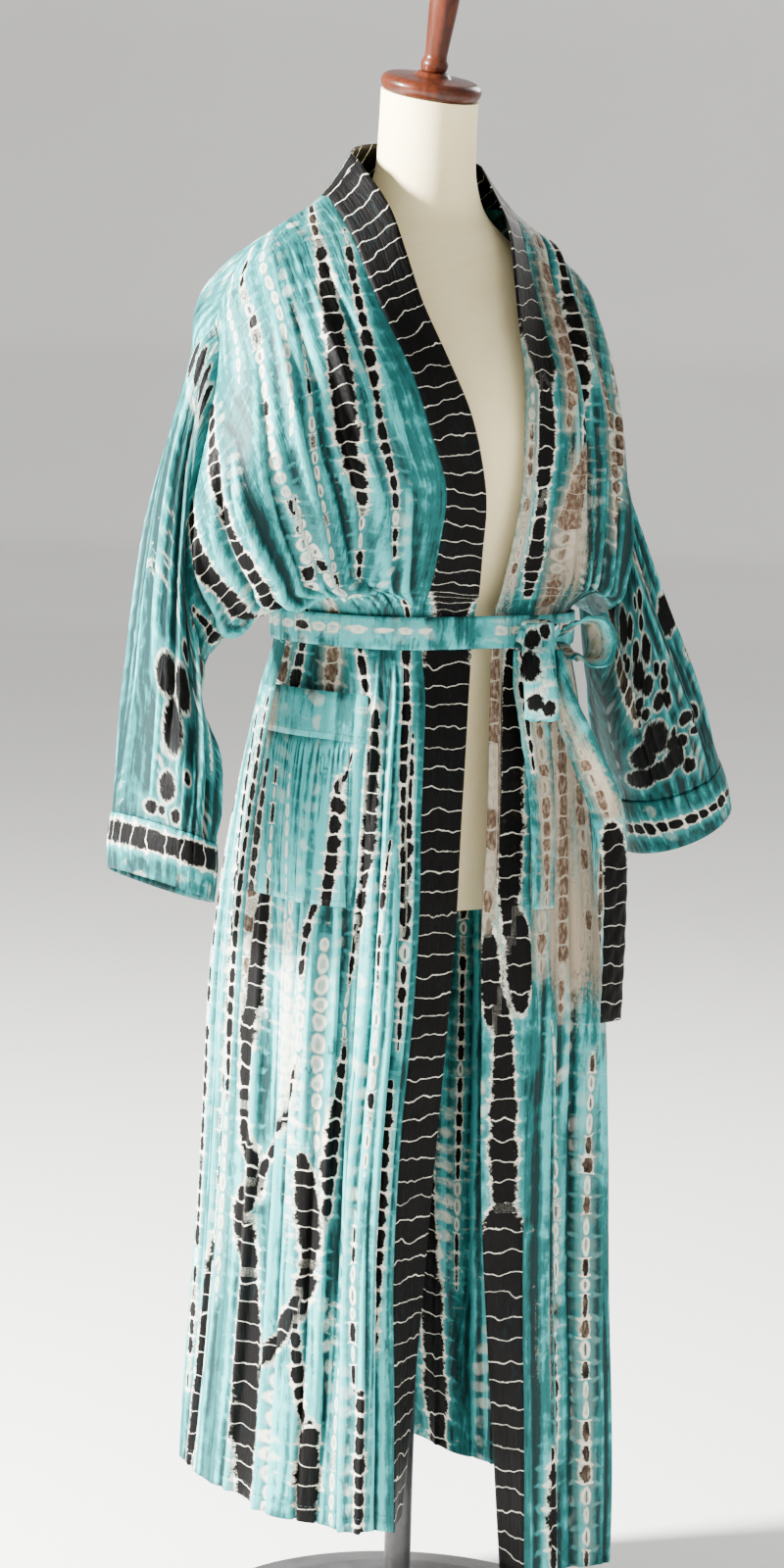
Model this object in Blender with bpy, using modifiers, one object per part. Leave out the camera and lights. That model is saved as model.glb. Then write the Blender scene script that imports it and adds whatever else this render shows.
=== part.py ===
"""Kimono duster worn by a limbless dress form, in metres.

The wearer faces -Y, the wearer's left is +X and Z is up. The origin is where the stand's axis meets
the floor.
Each cloth panel is an open sheet skinned through section curves and given its wall by Solidify. Neighbouring
panels read the same seam curves, so they meet with only the seam gap between them.
"""
import math

import bmesh
import bpy
import numpy as np
from mathutils import Matrix, Vector

COLLECTION = "kimono_duster"

# Walls and gaps
CLOTH = 0.0016
BAND_CLOTH = 0.0024
BELT_CLOTH = 0.0018
SEAM_GAP = 0.0006
LAY_GAP = 0.0005
SEAT_GAP = 0.0003
# How far a panel's outer columns are drawn in, by the length of cloth below the shoulder seam
EASE_COLUMNS = ("down", "by")
SEAM_EASE = (
    (0.00, 0.0004), (0.20, 0.0006), (0.38, 0.0012), (0.43, 0.0026),
    (0.46, 0.0020), (0.49, 0.0004), (0.53, 0.0),
)

# Grid of a panel: cells across a front and round the neck, rows down each stretch between two section rows
FRONT_CELLS = 12
NECK_CELLS = 8
BAND_CELLS = 2
ROW_SPLITS = (1, 1, 1, 1, 1, 1, 1, 1, 2, 1, 1, 1, 1, 2, 2, 2, 2, 2, 1, 2)

# Rows shared by every body panel, as the length of cloth below the shoulder seam
UNDERARM_ROW = 8
BELT_TOP_ROW = 10
BELT_LOW_ROW = 11
DOWN = (0.00, 0.05, 0.10, 0.15, 0.20, 0.26, 0.32, 0.38, 0.43, 0.47, 0.49, 0.525,
        0.57, 0.615, 0.69, 0.77, 0.86, 0.99, 1.13, 1.22, 1.37)

# Front panels, a row for each length in DOWN: the seam with the front band, then the outer edge.
# Down to the underarm the outer edge lies on the armhole, at the angle "turn" from its top, and below
# the underarm it is the side seam. "round" squares the section's corner and "sag" holds it up.
FRONT_COLUMNS = ("x_band", "y_band", "z_band", "turn", "x_side", "y_side", "z_side", "round", "sag")
FRONT_RIGHT = (
    (-0.112, 0.020, 1.428, 0, 0, 0, 0, 1.00, 1.0),
    (-0.117, -0.030, 1.392, 28, 0, 0, 0, 0.95, 1.8),
    (-0.123, -0.070, 1.351, 46, 0, 0, 0, 0.95, 1.8),
    (-0.119, -0.100, 1.309, 64, 0, 0, 0, 0.95, 1.8),
    (-0.105, -0.120, 1.265, 82, 0, 0, 0, 0.95, 1.6),
    (-0.088, -0.130, 1.209, 102, 0, 0, 0, 0.95, 1.6),
    (-0.066, -0.127, 1.154, 124, 0, 0, 0, 0.95, 1.8),
    (-0.068, -0.120, 1.098, 150, 0, 0, 0, 0.92, 2.2),
    (-0.073, -0.115, 1.060, 180, 0, 0, 0, 0.92, 2.8),
    (-0.076, -0.112, 1.047, 0, -0.178, 0.008, 1.066, 0.90, 1.0),
    (-0.077, -0.110, 1.037, 0, -0.150, 0.015, 1.037, 0.95, 1.0),
    (-0.078, -0.111, 1.001, 0, -0.150, 0.015, 1.002, 0.95, 1.0),
    (-0.080, -0.122, 0.956, 0, -0.160, 0.015, 0.960, 0.92, 1.0),
    (-0.086, -0.131, 0.911, 0, -0.168, 0.015, 0.916, 0.90, 1.0),
    (-0.093, -0.140, 0.836, 0, -0.179, 0.015, 0.840, 0.90, 1.0),
    (-0.096, -0.146, 0.756, 0, -0.188, 0.014, 0.762, 0.90, 1.0),
    (-0.103, -0.151, 0.666, 0, -0.194, 0.012, 0.672, 0.90, 1.0),
    (-0.118, -0.157, 0.536, 0, -0.198, 0.010, 0.542, 0.90, 1.0),
    (-0.124, -0.161, 0.396, 0, -0.203, 0.010, 0.404, 0.90, 1.0),
    (-0.122, -0.164, 0.306, 0, -0.208, 0.010, 0.316, 0.90, 1.0),
    (-0.119, -0.166, 0.160, 0, -0.217, 0.012, 0.176, 0.90, 1.0),
)
FRONT_LEFT = (
    (0.104, 0.020, 1.424, 0, 0, 0, 0, 1.00, 1.0),
    (0.085, -0.026, 1.398, 28, 0, 0, 0, 0.95, 1.8),
    (0.075, -0.058, 1.356, 46, 0, 0, 0, 1.05, 1.8),
    (0.072, -0.084, 1.311, 64, 0, 0, 0, 1.05, 1.8),
    (0.075, -0.105, 1.263, 82, 0, 0, 0, 1.05, 1.6),
    (0.073, -0.116, 1.205, 102, 0, 0, 0, 1.05, 1.6),
    (0.067, -0.118, 1.150, 124, 0, 0, 0, 1.00, 1.8),
    (0.062, -0.114, 1.094, 150, 0, 0, 0, 0.95, 1.6),
    (0.058, -0.112, 1.064, 180, 0, 0, 0, 0.95, 1.5),
    (0.055, -0.111, 1.047, 0, 0.178, 0.008, 1.056, 0.90, 1.0),
    (0.053, -0.110, 1.037, 0, 0.150, 0.015, 1.037, 0.95, 1.0),
    (0.051, -0.111, 1.001, 0, 0.150, 0.015, 1.002, 0.95, 1.0),
    (0.046, -0.120, 0.954, 0, 0.158, 0.015, 0.955, 0.92, 1.0),
    (0.041, -0.129, 0.908, 0, 0.165, 0.015, 0.908, 0.90, 1.0),
    (0.035, -0.140, 0.828, 0, 0.175, 0.015, 0.828, 0.90, 1.0),
    (0.032, -0.149, 0.742, 0, 0.182, 0.014, 0.740, 0.90, 1.0),
    (0.033, -0.155, 0.647, 0, 0.188, 0.012, 0.642, 0.90, 1.0),
    (0.026, -0.161, 0.507, 0, 0.194, 0.010, 0.500, 0.90, 1.0),
    (0.026, -0.165, 0.357, 0, 0.201, 0.010, 0.350, 0.90, 1.0),
    (0.031, -0.166, 0.257, 0, 0.208, 0.010, 0.250, 0.90, 1.0),
    (0.037, -0.167, 0.088, 0, 0.220, 0.012, 0.078, 0.90, 1.0),
)

# Opening edge of each front band, a row for each length in DOWN
BAND_COLUMNS = ("x", "y", "z")
# Share of a band's width left free beside its seam, and of the neck band's height over its seam
BAND_START = 0.035
NECK_BAND_START = 0.075
NECK_BAND_TRIM = 0.004
BAND_RIGHT = (
    (-0.081, 0.016, 1.464), (-0.081, -0.040, 1.420), (-0.082, -0.074, 1.373), (-0.077, -0.095, 1.329),
    (-0.062, -0.119, 1.276), (-0.038, -0.128, 1.219), (-0.020, -0.127, 1.150), (-0.018, -0.121, 1.094),
    (-0.017, -0.116, 1.056), (-0.017, -0.113, 1.046), (-0.018, -0.111, 1.037), (-0.021, -0.112, 1.001),
    (-0.030, -0.122, 0.956), (-0.037, -0.130, 0.911), (-0.046, -0.139, 0.836), (-0.051, -0.143, 0.756),
    (-0.059, -0.147, 0.666), (-0.070, -0.148, 0.536), (-0.076, -0.142, 0.396), (-0.079, -0.137, 0.306),
    (-0.084, -0.128, 0.162),
)
BAND_LEFT = (
    (0.066, 0.020, 1.464), (0.054, -0.046, 1.406), (0.040, -0.080, 1.354), (0.029, -0.105, 1.311),
    (0.028, -0.119, 1.266), (0.027, -0.122, 1.207), (0.026, -0.122, 1.151), (0.018, -0.118, 1.094),
    (0.012, -0.114, 1.060), (0.009, -0.112, 1.046), (0.006, -0.111, 1.037), (0.003, -0.112, 1.001),
    (-0.003, -0.121, 0.954), (-0.008, -0.128, 0.908), (-0.014, -0.138, 0.828), (-0.022, -0.145, 0.742),
    (-0.022, -0.150, 0.647), (-0.020, -0.153, 0.507), (-0.004, -0.146, 0.357), (0.012, -0.138, 0.257),
    (0.036, -0.128, 0.090),
)

# Back panel, a row for each length in DOWN: how far back and how high its middle runs
BACK_COLUMNS = ("y_middle", "z_middle", "round", "sag")
BACK = (
    (0.084, 1.432, 1.00, 1.0), (0.104, 1.390, 0.95, 1.8), (0.112, 1.342, 0.95, 1.8),
    (0.117, 1.292, 0.92, 1.8), (0.120, 1.242, 0.92, 1.6), (0.124, 1.182, 0.90, 1.6),
    (0.128, 1.130, 0.90, 1.6), (0.130, 1.084, 0.90, 1.8), (0.127, 1.060, 0.90, 1.8),
    (0.117, 1.050, 0.88, 1.0), (0.108, 1.037, 0.92, 1.0), (0.108, 1.001, 0.92, 1.0),
    (0.118, 0.958, 0.90, 1.0), (0.128, 0.914, 0.90, 1.0), (0.140, 0.838, 0.90, 1.0),
    (0.148, 0.760, 0.90, 1.0), (0.153, 0.670, 0.88, 1.0), (0.158, 0.542, 0.88, 1.0),
    (0.163, 0.404, 0.88, 1.0), (0.167, 0.316, 0.88, 1.0), (0.175, 0.172, 0.88, 1.0),
)
# Half the neck opening as a share of half the back, the shoulder's rounding and the neck band's arc
NECK_SHARE = 0.36
SHOULDER_CREST = 0.042
NECK_BAND_BACK = 0.0674
NECK_BAND_TOP = 1.484

# Sleeves, a row for each section from the armhole to the cuff's end
SLEEVE_COLUMNS = ("run", "x_out", "z_out", "x_in", "z_in", "front", "back", "bow")
SLEEVE_RIGHT = (
    (0.00, -0.247, 1.304, -0.246, 0.992, 0.024, 0.038, -0.042),
    (0.03, -0.259, 1.293, -0.251, 0.980, 0.025, 0.036, -0.041),
    (0.12, -0.280, 1.238, -0.256, 0.942, 0.028, 0.037, -0.034),
    (0.28, -0.301, 1.152, -0.256, 0.915, 0.040, 0.041, -0.022),
    (0.46, -0.314, 1.060, -0.252, 0.890, 0.052, 0.047, -0.008),
    (0.66, -0.322, 0.965, -0.248, 0.866, 0.062, 0.056, 0.0),
    (0.84, -0.329, 0.897, -0.250, 0.838, 0.071, 0.062, 0.0),
    (1.00, -0.334, 0.843, -0.253, 0.812, 0.073, 0.065, 0.0),
    (1.14, -0.336, 0.790, -0.256, 0.758, 0.074, 0.066, 0.0),
)
SLEEVE_LEFT = (
    (0.00, 0.172, 1.307, 0.208, 1.022, 0.036, 0.040, -0.002),
    (0.03, 0.182, 1.300, 0.217, 1.012, 0.036, 0.039, 0.0),
    (0.12, 0.199, 1.245, 0.219, 0.980, 0.039, 0.041, 0.0),
    (0.28, 0.226, 1.162, 0.221, 0.950, 0.047, 0.047, 0.0),
    (0.46, 0.261, 1.075, 0.227, 0.922, 0.057, 0.055, 0.0),
    (0.66, 0.303, 0.990, 0.237, 0.888, 0.064, 0.062, 0.0),
    (0.84, 0.335, 0.925, 0.247, 0.858, 0.066, 0.065, 0.0),
    (1.00, 0.355, 0.876, 0.257, 0.830, 0.067, 0.066, 0.0),
    (1.14, 0.371, 0.832, 0.268, 0.776, 0.068, 0.067, 0.0),
)
BACK_BOW = 0.10

# Where the sleeve begins after the armhole, its ease at the underarm, and the gap to the cuff, as runs
SLEEVE_START = 0.004
SLEEVE_EASE = 0.30
CUFF_GAP = 0.001
SLEEVE_SPLITS = (1, 1, 2, 2, 2, 1, 1)
CUFF_SPLITS = 2

# Largest folds of each panel: where across (0 at the front band or the back's middle, 1 at the side seam),
# depth (outward is positive), half width across, the cloth length where it starts and ends, and its drift
FOLD_COLUMNS = ("across", "depth", "reach", "start", "end", "drift")
FOLDS_RIGHT = (
    (0.20, 0.010, 0.09, 0.53, 1.60, 0.04),
    (0.44, -0.013, 0.08, 0.53, 1.60, -0.04),
    (0.62, 0.009, 0.08, 0.53, 1.60, 0.02),
    (0.86, -0.008, 0.07, 0.60, 1.60, -0.03),
    (0.30, -0.007, 0.10, 0.16, 0.48, 0.10),
    (0.55, 0.009, 0.12, 0.14, 0.49, 0.12),
)
FOLDS_LEFT = (
    (0.14, -0.016, 0.07, 0.60, 1.70, 0.02),
    (0.34, 0.012, 0.09, 0.53, 1.60, 0.03),
    (0.55, -0.010, 0.08, 0.53, 1.60, 0.02),
    (0.78, 0.008, 0.08, 0.53, 1.60, -0.03),
    (0.45, -0.007, 0.07, -0.10, 0.36, 0.18),
    (0.62, 0.010, 0.10, -0.05, 0.48, 0.10),
)
FOLDS_BACK = (
    (-0.82, -0.010, 0.06, 0.53, 1.60, 0.03),
    (-0.64, 0.011, 0.06, 0.53, 1.60, 0.02),
    (-0.42, -0.012, 0.07, 0.53, 1.60, 0.03),
    (-0.16, 0.012, 0.07, 0.53, 1.60, -0.02),
    (0.06, -0.011, 0.06, 0.60, 1.60, 0.02),
    (0.28, 0.012, 0.07, 0.53, 1.60, 0.02),
    (0.50, -0.012, 0.07, 0.53, 1.60, -0.03),
    (0.74, 0.010, 0.07, 0.53, 1.60, 0.02),
    (-0.50, 0.009, 0.10, 0.10, 0.48, -0.06),
    (0.46, 0.009, 0.10, 0.10, 0.48, 0.06),
    (0.00, -0.007, 0.09, 0.12, 0.48, 0.0),
)
FOLD_FADE = 0.34
# Cloth lengths and width shares over which a fold grows from a seam or from the belt
HOLD_EDGE = 0.10
HOLD_FRONT_TOP = 0.03
HOLD_BACK_TOP = 0.05
HOLD_BELT = 0.05
HOLD_BELT_FREE = 0.35

# Patch pockets, as cells of the front panel's grid: first and last column, top row, band row and bottom row
POCKET_COLUMNS = ("first", "last", "top", "seam", "bottom")
POCKET_RIGHT = (5, 12, 13, 14, 18)
POCKET_LEFT = (6, 12, 15, 16, 20)
POCKET_SWELL = 0.006
POCKET_LEFT_GAPE = 0.020
POCKET_PLEATS = 4
POCKET_PLEAT_DEPTH = 0.0015
POCKET_SEAM_SHARE = 0.03

# Tie belt
BELT_CLEAR = 0.0008
BELT_SPAN = (0.12, 0.98)
KNOT_PLACE = (0.045, -0.1294, 1.016)
KNOT_SIZE = (0.042, 0.0272, 0.030)
KNOT_ROUND = 0.008
BELT_WIDTH = 0.033
STRIP_STATIONS = 22
# Middle line of each loop and tail, with the direction that the belt's width points in
STRIP_COLUMNS = ("x", "y", "z", "width_x", "width_y", "width_z")
LOOP_FRONT = (
    (0.036, -0.1444, 1.028, 1.00, 0.0, 0.0),
    (0.036, -0.1446, 1.014, 1.00, 0.0, 0.0),
    (0.028, -0.154, 0.994, 0.96, -0.25, 0.05),
    (0.026, -0.164, 0.960, 0.90, -0.42, 0.0),
    (0.030, -0.160, 0.938, 0.88, -0.47, 0.0),
    (0.038, -0.149, 0.943, 0.88, -0.47, 0.0),
    (0.039, -0.1450, 0.970, 0.94, -0.30, 0.0),
    (0.037, -0.1425, 0.9995, 0.98, -0.15, 0.0),
)
LOOP_SIDE = (
    (0.0663, -0.136, 1.018, 0.00, -0.90, 0.42),
    (0.0755, -0.137, 1.022, 0.00, -0.83, 0.55),
    (0.0880, -0.142, 1.030, 0.15, -0.93, 0.25),
    (0.1000, -0.146, 1.028, 0.30, -0.94, 0.10),
    (0.1085, -0.148, 1.010, 0.38, -0.92, 0.00),
    (0.1020, -0.149, 0.992, 0.36, -0.93, -0.05),
    (0.0890, -0.146, 0.989, 0.15, -0.95, -0.20),
    (0.0765, -0.140, 0.999, 0.00, -0.90, -0.42),
    (0.0675, -0.138, 1.000, 0.00, -0.90, -0.42),
)
TAIL_FRONT = (
    (0.035, -0.1285, 1.0007, 0.99, -0.10, 0.0),
    (0.035, -0.1300, 0.972, 0.98, -0.20, 0.0),
    (0.036, -0.1400, 0.930, 0.98, -0.10, 0.0),
    (0.036, -0.1560, 0.860, 0.98, 0.15, 0.0),
    (0.033, -0.1660, 0.800, 0.96, 0.26, 0.0),
    (0.032, -0.1700, 0.755, 0.95, 0.30, 0.0),
)
TAIL_SIDE = (
    (0.0580, -0.1350, 1.0007, 0.00, -1.00, 0.00),
    (0.064, -0.1400, 0.965, 0.20, -0.97, 0.00),
    (0.083, -0.158, 0.905, 0.50, -0.85, 0.10),
    (0.103, -0.170, 0.850, 0.80, -0.40, 0.0),
    (0.112, -0.174, 0.800, 0.93, 0.10, 0.0),
    (0.114, -0.176, 0.720, 0.95, 0.26, 0.0),
    (0.113, -0.176, 0.640, 0.95, 0.30, 0.0),
)
CARRIER_RADIUS = 0.0011
CARRIER_BOW = 0.0010
CARRIER_HALF = 0.0180
CARRIER_TURN = 0.92

# Dress form: a row for each level
FORM_COLUMNS = ("z", "half_width", "y_front", "y_back", "lean")
FORM = (
    (0.745, 0.146, -0.094, 0.102, 0.0),
    (0.760, 0.152, -0.099, 0.108, 0.0),
    (0.810, 0.157, -0.103, 0.115, 0.0),
    (0.880, 0.152, -0.098, 0.110, 0.0),
    (0.950, 0.136, -0.092, 0.096, 0.0),
    (1.020, 0.122, -0.088, 0.082, 0.0),
    (1.090, 0.124, -0.095, 0.080, 0.0),
    (1.160, 0.130, -0.107, 0.085, 0.0),
    (1.215, 0.136, -0.110, 0.090, 0.0),
    (1.270, 0.141, -0.097, 0.094, 0.0),
    (1.320, 0.143, -0.074, 0.096, 0.0),
    (1.355, 0.134, -0.054, 0.092, 0.0),
    (1.380, 0.110, -0.042, 0.086, 0.0),
    (1.398, 0.086, -0.036, 0.080, 0.1),
    (1.416, 0.066, -0.030, 0.073, 0.3),
    (1.445, 0.051, -0.028, 0.067, 0.6),
    (1.490, 0.0465, -0.028, 0.064, 0.9),
    (1.530, 0.0462, -0.030, 0.062, 1.0),
)
FORM_SIDES = 28
FORM_ROWS = 24
FORM_SQUARE = 0.90
FORM_LEAST_STEP = 0.012
NECK_TILT = math.radians(13.0)

# Turned pieces: radius and height of each step of the profile, top to bottom
TURNED_COLUMNS = ("radius", "height")
NECK_CAP_PROFILE = (
    (0.0, 0.0225), (0.015, 0.0225), (0.0165, 0.0205), (0.0180, 0.0180), (0.044, 0.0165), (0.0485, 0.0135),
    (0.0500, 0.0090), (0.0485, 0.0040), (0.0460, 0.0), (0.0, 0.0),
)
FINIAL_PROFILE = (
    (0.0, 0.1220), (0.0060, 0.1210), (0.0115, 0.1170), (0.0145, 0.1100), (0.0155, 0.1000), (0.0152, 0.0880),
    (0.0140, 0.0600), (0.0118, 0.0300), (0.0108, 0.0140), (0.0128, 0.0105), (0.0138, 0.0070),
    (0.0128, 0.0030), (0.0125, 0.0), (0.0, 0.0),
)
BASE_PROFILE = (
    (0.0, 0.046), (0.020, 0.046), (0.024, 0.030), (0.040, 0.024), (0.150, 0.019), (0.195, 0.014),
    (0.200, 0.008), (0.200, 0.0), (0.0, 0.0),
)
TURNED_STEPS = 24
BASE_STEPS = 40
POLE_RADIUS = 0.0135

COLOURS = {
    "teal": ((0.075, 0.330, 0.340, 1.0), 0.55, 0.0),
    "charcoal": ((0.020, 0.020, 0.018, 1.0), 0.55, 0.0),
    "light_teal": ((0.260, 0.560, 0.560, 1.0), 0.55, 0.0),
    "cream": ((0.700, 0.640, 0.520, 1.0), 0.90, 0.0),
    "mahogany": ((0.110, 0.022, 0.010, 1.0), 0.22, 0.0),
    "black_metal": ((0.030, 0.030, 0.032, 1.0), 0.40, 0.8),
}


def clear_scene():
    """Empty the scene of objects and of this model's older collection."""
    for item in list(bpy.data.objects):
        bpy.data.objects.remove(item, do_unlink=True)
    old = bpy.data.collections.get(COLLECTION)
    if old:
        bpy.data.collections.remove(old)
    parts = bpy.data.collections.new(COLLECTION)
    bpy.context.scene.collection.children.link(parts)
    return parts


def finish_material(name):
    """One plain material for a sub-part."""
    colour, roughness, metallic = COLOURS[name]
    material = bpy.data.materials.new(name)
    material.use_nodes = True
    shader = material.node_tree.nodes["Principled BSDF"]
    shader.inputs["Base Color"].default_value = colour
    shader.inputs["Roughness"].default_value = roughness
    shader.inputs["Metallic"].default_value = metallic
    return material


def add_object(parts, name, mesh, material):
    """Link a mesh as a named sub-part, shaded smooth, with its own material."""
    item = bpy.data.objects.new(name, mesh)
    mesh.materials.append(finish_material(material))
    mesh.shade_smooth()
    parts.objects.link(item)
    return item


def table(columns, rows):
    """Turn rows under named columns into one array for each column."""
    values = np.array(rows, dtype=float)
    return {name: values[:, i] for i, name in enumerate(columns)}


def skin(knots, curves, at):
    """Smooth curve through rows of points: curves[k] belongs to knots[k], read at the lengths in "at"."""
    knots = np.asarray(knots, dtype=float)
    curves = np.asarray(curves, dtype=float)
    at = np.atleast_1d(np.asarray(at, dtype=float))
    steps = np.diff(knots)
    shape = (-1,) + (1,) * (curves.ndim - 1)
    chords = np.diff(curves, axis=0) / steps.reshape(shape)
    slopes = np.empty_like(curves)
    weight = (steps[:-1] / (steps[:-1] + steps[1:])).reshape(shape)
    slopes[1:-1] = chords[:-1] * (1.0 - weight) + chords[1:] * weight
    slopes[0] = chords[0]
    slopes[-1] = chords[-1]
    cell = np.clip(np.searchsorted(knots, at, side="right") - 1, 0, len(steps) - 1)
    width = steps[cell].reshape(shape)
    u = ((at - knots[cell]) / steps[cell]).reshape(shape)
    low, high = curves[cell], curves[cell + 1]
    rise_low, rise_high = slopes[cell] * width, slopes[cell + 1] * width
    from_low = (2 * u**3 - 3 * u**2 + 1) * low + (u**3 - 2 * u**2 + u) * rise_low
    from_high = (-2 * u**3 + 3 * u**2) * high + (u**3 - u**2) * rise_high
    return from_low + from_high


def armhole_point(run, turn):
    """Point of a sleeve section at an angle from its top, by the front if positive, else by the back."""
    outer = np.stack([run["x_out"], np.zeros_like(run["x_out"]), run["z_out"]], axis=-1)
    inner = np.stack([run["x_in"], np.zeros_like(run["x_in"]), run["z_in"]], axis=-1)
    half_turn = np.abs(turn) / math.pi
    bow = run["bow"] * np.sin(math.pi * half_turn**1.5) ** 2 * np.where(turn < 0, BACK_BOW, 1.0)
    reach = np.where(turn < 0, run["back"], run["front"])
    point = (outer + inner) / 2 + (outer - inner) / 2 * np.cos(turn)[..., None]
    return point + np.stack([bow, -reach * np.sin(turn), 0 * bow], axis=-1)


def sleeve_section(rows, index, turn):
    """Whole section of a sleeve row at the given turns."""
    values = table(SLEEVE_COLUMNS, rows)
    run = {name: np.full(turn.shape, values[name][index]) for name in SLEEVE_COLUMNS}
    return armhole_point(run, turn)


def side_rows(front, sleeve, back_side):
    """Outer edge of a body panel at each row of DOWN: on the armhole, then on the side seam."""
    values = table(FRONT_COLUMNS, front)
    sign = -1.0 if back_side else 1.0
    turn = np.radians(values["turn"]) * sign
    on_armhole = sleeve_section(sleeve, 0, turn)
    on_seam = np.stack([values["x_side"], values["y_side"], values["z_side"]], axis=-1)
    below = (np.arange(len(DOWN)) > UNDERARM_ROW)[:, None]
    return np.where(below, on_seam, on_armhole)


def shoulder_line(neck, arm, across):
    """Seam over the shoulder: straight from the neck and then rounding down to the arm."""
    across = across[:, None]
    line = neck + (arm - neck) * across
    crest = SHOULDER_CREST * (across * 1.35) * np.clip(1.0 - across**5, 0.0, 1.0)
    return line + np.array([0.0, 0.0, 1.0]) * crest


def across_section(inner, outer, across, roundness, sag):
    """Quarter of a rounded ring from the inner point (0) to the outer point (1)."""
    angle = across * math.pi / 2
    x = inner[0] + (outer[0] - inner[0]) * np.sin(angle) ** roundness
    y = outer[1] + (inner[1] - outer[1]) * np.cos(angle) ** roundness
    z = inner[2] + (outer[2] - inner[2]) * across**sag
    return np.stack([x, y, z], axis=-1)


def fold_shift(folds, across, down):
    """Sum of the folds' outward shifts at each place of a panel."""
    values = table(FOLD_COLUMNS, folds)
    shift = np.zeros(np.broadcast(across, down).shape)
    for i in range(len(folds)):
        span = values["end"][i] - values["start"][i]
        along = (down - values["start"][i]) / span
        middle = values["across"][i] + values["drift"][i] * along
        profile = np.exp(-(((across - middle) / values["reach"][i]) ** 2))
        grow = np.clip(along / FOLD_FADE, 0.0, 1.0)
        fade = np.clip((1.0 - along) / FOLD_FADE, 0.0, 1.0)
        strength = grow * grow * (3 - 2 * grow) * fade * fade * (3 - 2 * fade)
        shift = shift + values["depth"][i] * profile * strength
    return shift


def normals_of(grid):
    """Unit normals of a grid of points, right-handed from its columns to its rows."""
    along = np.gradient(grid, axis=0)
    across = np.gradient(grid, axis=1)
    normal = np.cross(across, along)
    return normal / np.maximum(np.linalg.norm(normal, axis=-1, keepdims=True), 1e-12)


def front_base(front, sleeve, across, down):
    """Smooth front panel before its folds, as a grid of rows down and columns across."""
    values = table(FRONT_COLUMNS, front)
    outer = side_rows(front, sleeve, False)
    curves = []
    for k in range(len(DOWN)):
        inner = np.array([values["x_band"][k], values["y_band"][k], values["z_band"][k]])
        if k == 0:
            curves.append(shoulder_line(inner, outer[k], across))
        else:
            curves.append(across_section(inner, outer[k], across, values["round"][k], values["sag"][k]))
    return skin(DOWN, curves, down)


def front_panel(side, across, down):
    """Front panel with its folds, side -1 for the wearer's right and +1 for the left."""
    front, sleeve, folds = ((FRONT_RIGHT, SLEEVE_RIGHT, FOLDS_RIGHT) if side < 0
                            else (FRONT_LEFT, SLEEVE_LEFT, FOLDS_LEFT))
    grid = front_base(front, sleeve, across, down)
    shift = fold_shift(folds, across[None, :], down[:, None]) * edge_hold(across, down)
    return grid + normals_of(grid) * (shift * -side)[..., None]


def belt_hold(down):
    """0 under the belt, growing to 1 above and below it."""
    middle = (DOWN[BELT_TOP_ROW] + DOWN[BELT_LOW_ROW]) / 2
    return np.clip(np.abs(down - middle) / HOLD_BELT - HOLD_BELT_FREE, 0.0, 1.0)[:, None]


def edge_hold(across, down):
    """Keeps folds away from a panel's seams: 0 on the inner and outer edge and at the belt, 1 between."""
    inside = np.clip(np.minimum(np.abs(across), 1.0 - np.abs(across)) / HOLD_EDGE, 0.0, 1.0)[None, :]
    top = np.clip(down / HOLD_FRONT_TOP, 0.0, 1.0)[:, None]
    return inside * top * belt_hold(down)


def back_hold(across, down):
    """Keeps the back's folds away from its side seams, its top and the belt."""
    inside = np.clip((1.0 - np.abs(across)) / HOLD_EDGE, 0.0, 1.0)[None, :]
    top = np.clip(down / HOLD_BACK_TOP, 0.0, 1.0)[:, None]
    return inside * top * belt_hold(down)


def neck_curve(across):
    """Back neck seam from the right shoulder's neck point (-NECK_SHARE) to the left one (+NECK_SHARE)."""
    right = np.array(FRONT_RIGHT[0][:3])
    left = np.array(FRONT_LEFT[0][:3])
    middle = np.array([(right[0] + left[0]) / 2, BACK[0][0], BACK[0][1]])
    angle = across / NECK_SHARE * math.pi / 2
    side = np.where(across[:, None] < 0, right, left)
    bend = np.abs(np.sin(angle))[:, None]
    x = middle[0] + (side[:, 0:1] - middle[0]) * bend
    y = side[:, 1:2] + (middle[1] - side[:, 1:2]) * np.cos(angle)[:, None]
    z = middle[2] + (side[:, 2:3] - middle[2]) * bend**2
    return np.concatenate([x, y, z], axis=1)


def back_top(across, arm_right, arm_left):
    """Top edge of the back: shoulder seam, neck curve, shoulder seam."""
    out = np.clip((np.abs(across) - NECK_SHARE) / (1.0 - NECK_SHARE), 0.0, 1.0)
    right = shoulder_line(np.array(FRONT_RIGHT[0][:3]), arm_right, out)
    left = shoulder_line(np.array(FRONT_LEFT[0][:3]), arm_left, out)
    seam = np.where(across[:, None] < 0, right, left)
    return np.where(np.abs(across)[:, None] < NECK_SHARE, neck_curve(across), seam)


def back_panel(across, down):
    """Back panel, across from -1 at the right side seam to +1 at the left one."""
    values = table(BACK_COLUMNS, BACK)
    right = side_rows(FRONT_RIGHT, SLEEVE_RIGHT, True)
    left = side_rows(FRONT_LEFT, SLEEVE_LEFT, True)
    curves = [back_top(across, right[0], left[0])]
    for k in range(1, len(DOWN)):
        middle_x = (right[k][0] + left[k][0]) / 2
        inner = np.array([middle_x, values["y_middle"][k], values["z_middle"][k]])
        on_right = across_section(inner, right[k], np.abs(across), values["round"][k], values["sag"][k])
        on_left = across_section(inner, left[k], np.abs(across), values["round"][k], values["sag"][k])
        curves.append(np.where(across[:, None] < 0, on_right, on_left))
    grid = skin(DOWN, curves, down)
    shift = fold_shift(FOLDS_BACK, across[None, :], down[:, None]) * back_hold(across, down)
    return grid + normals_of(grid) * shift[..., None]


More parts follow.
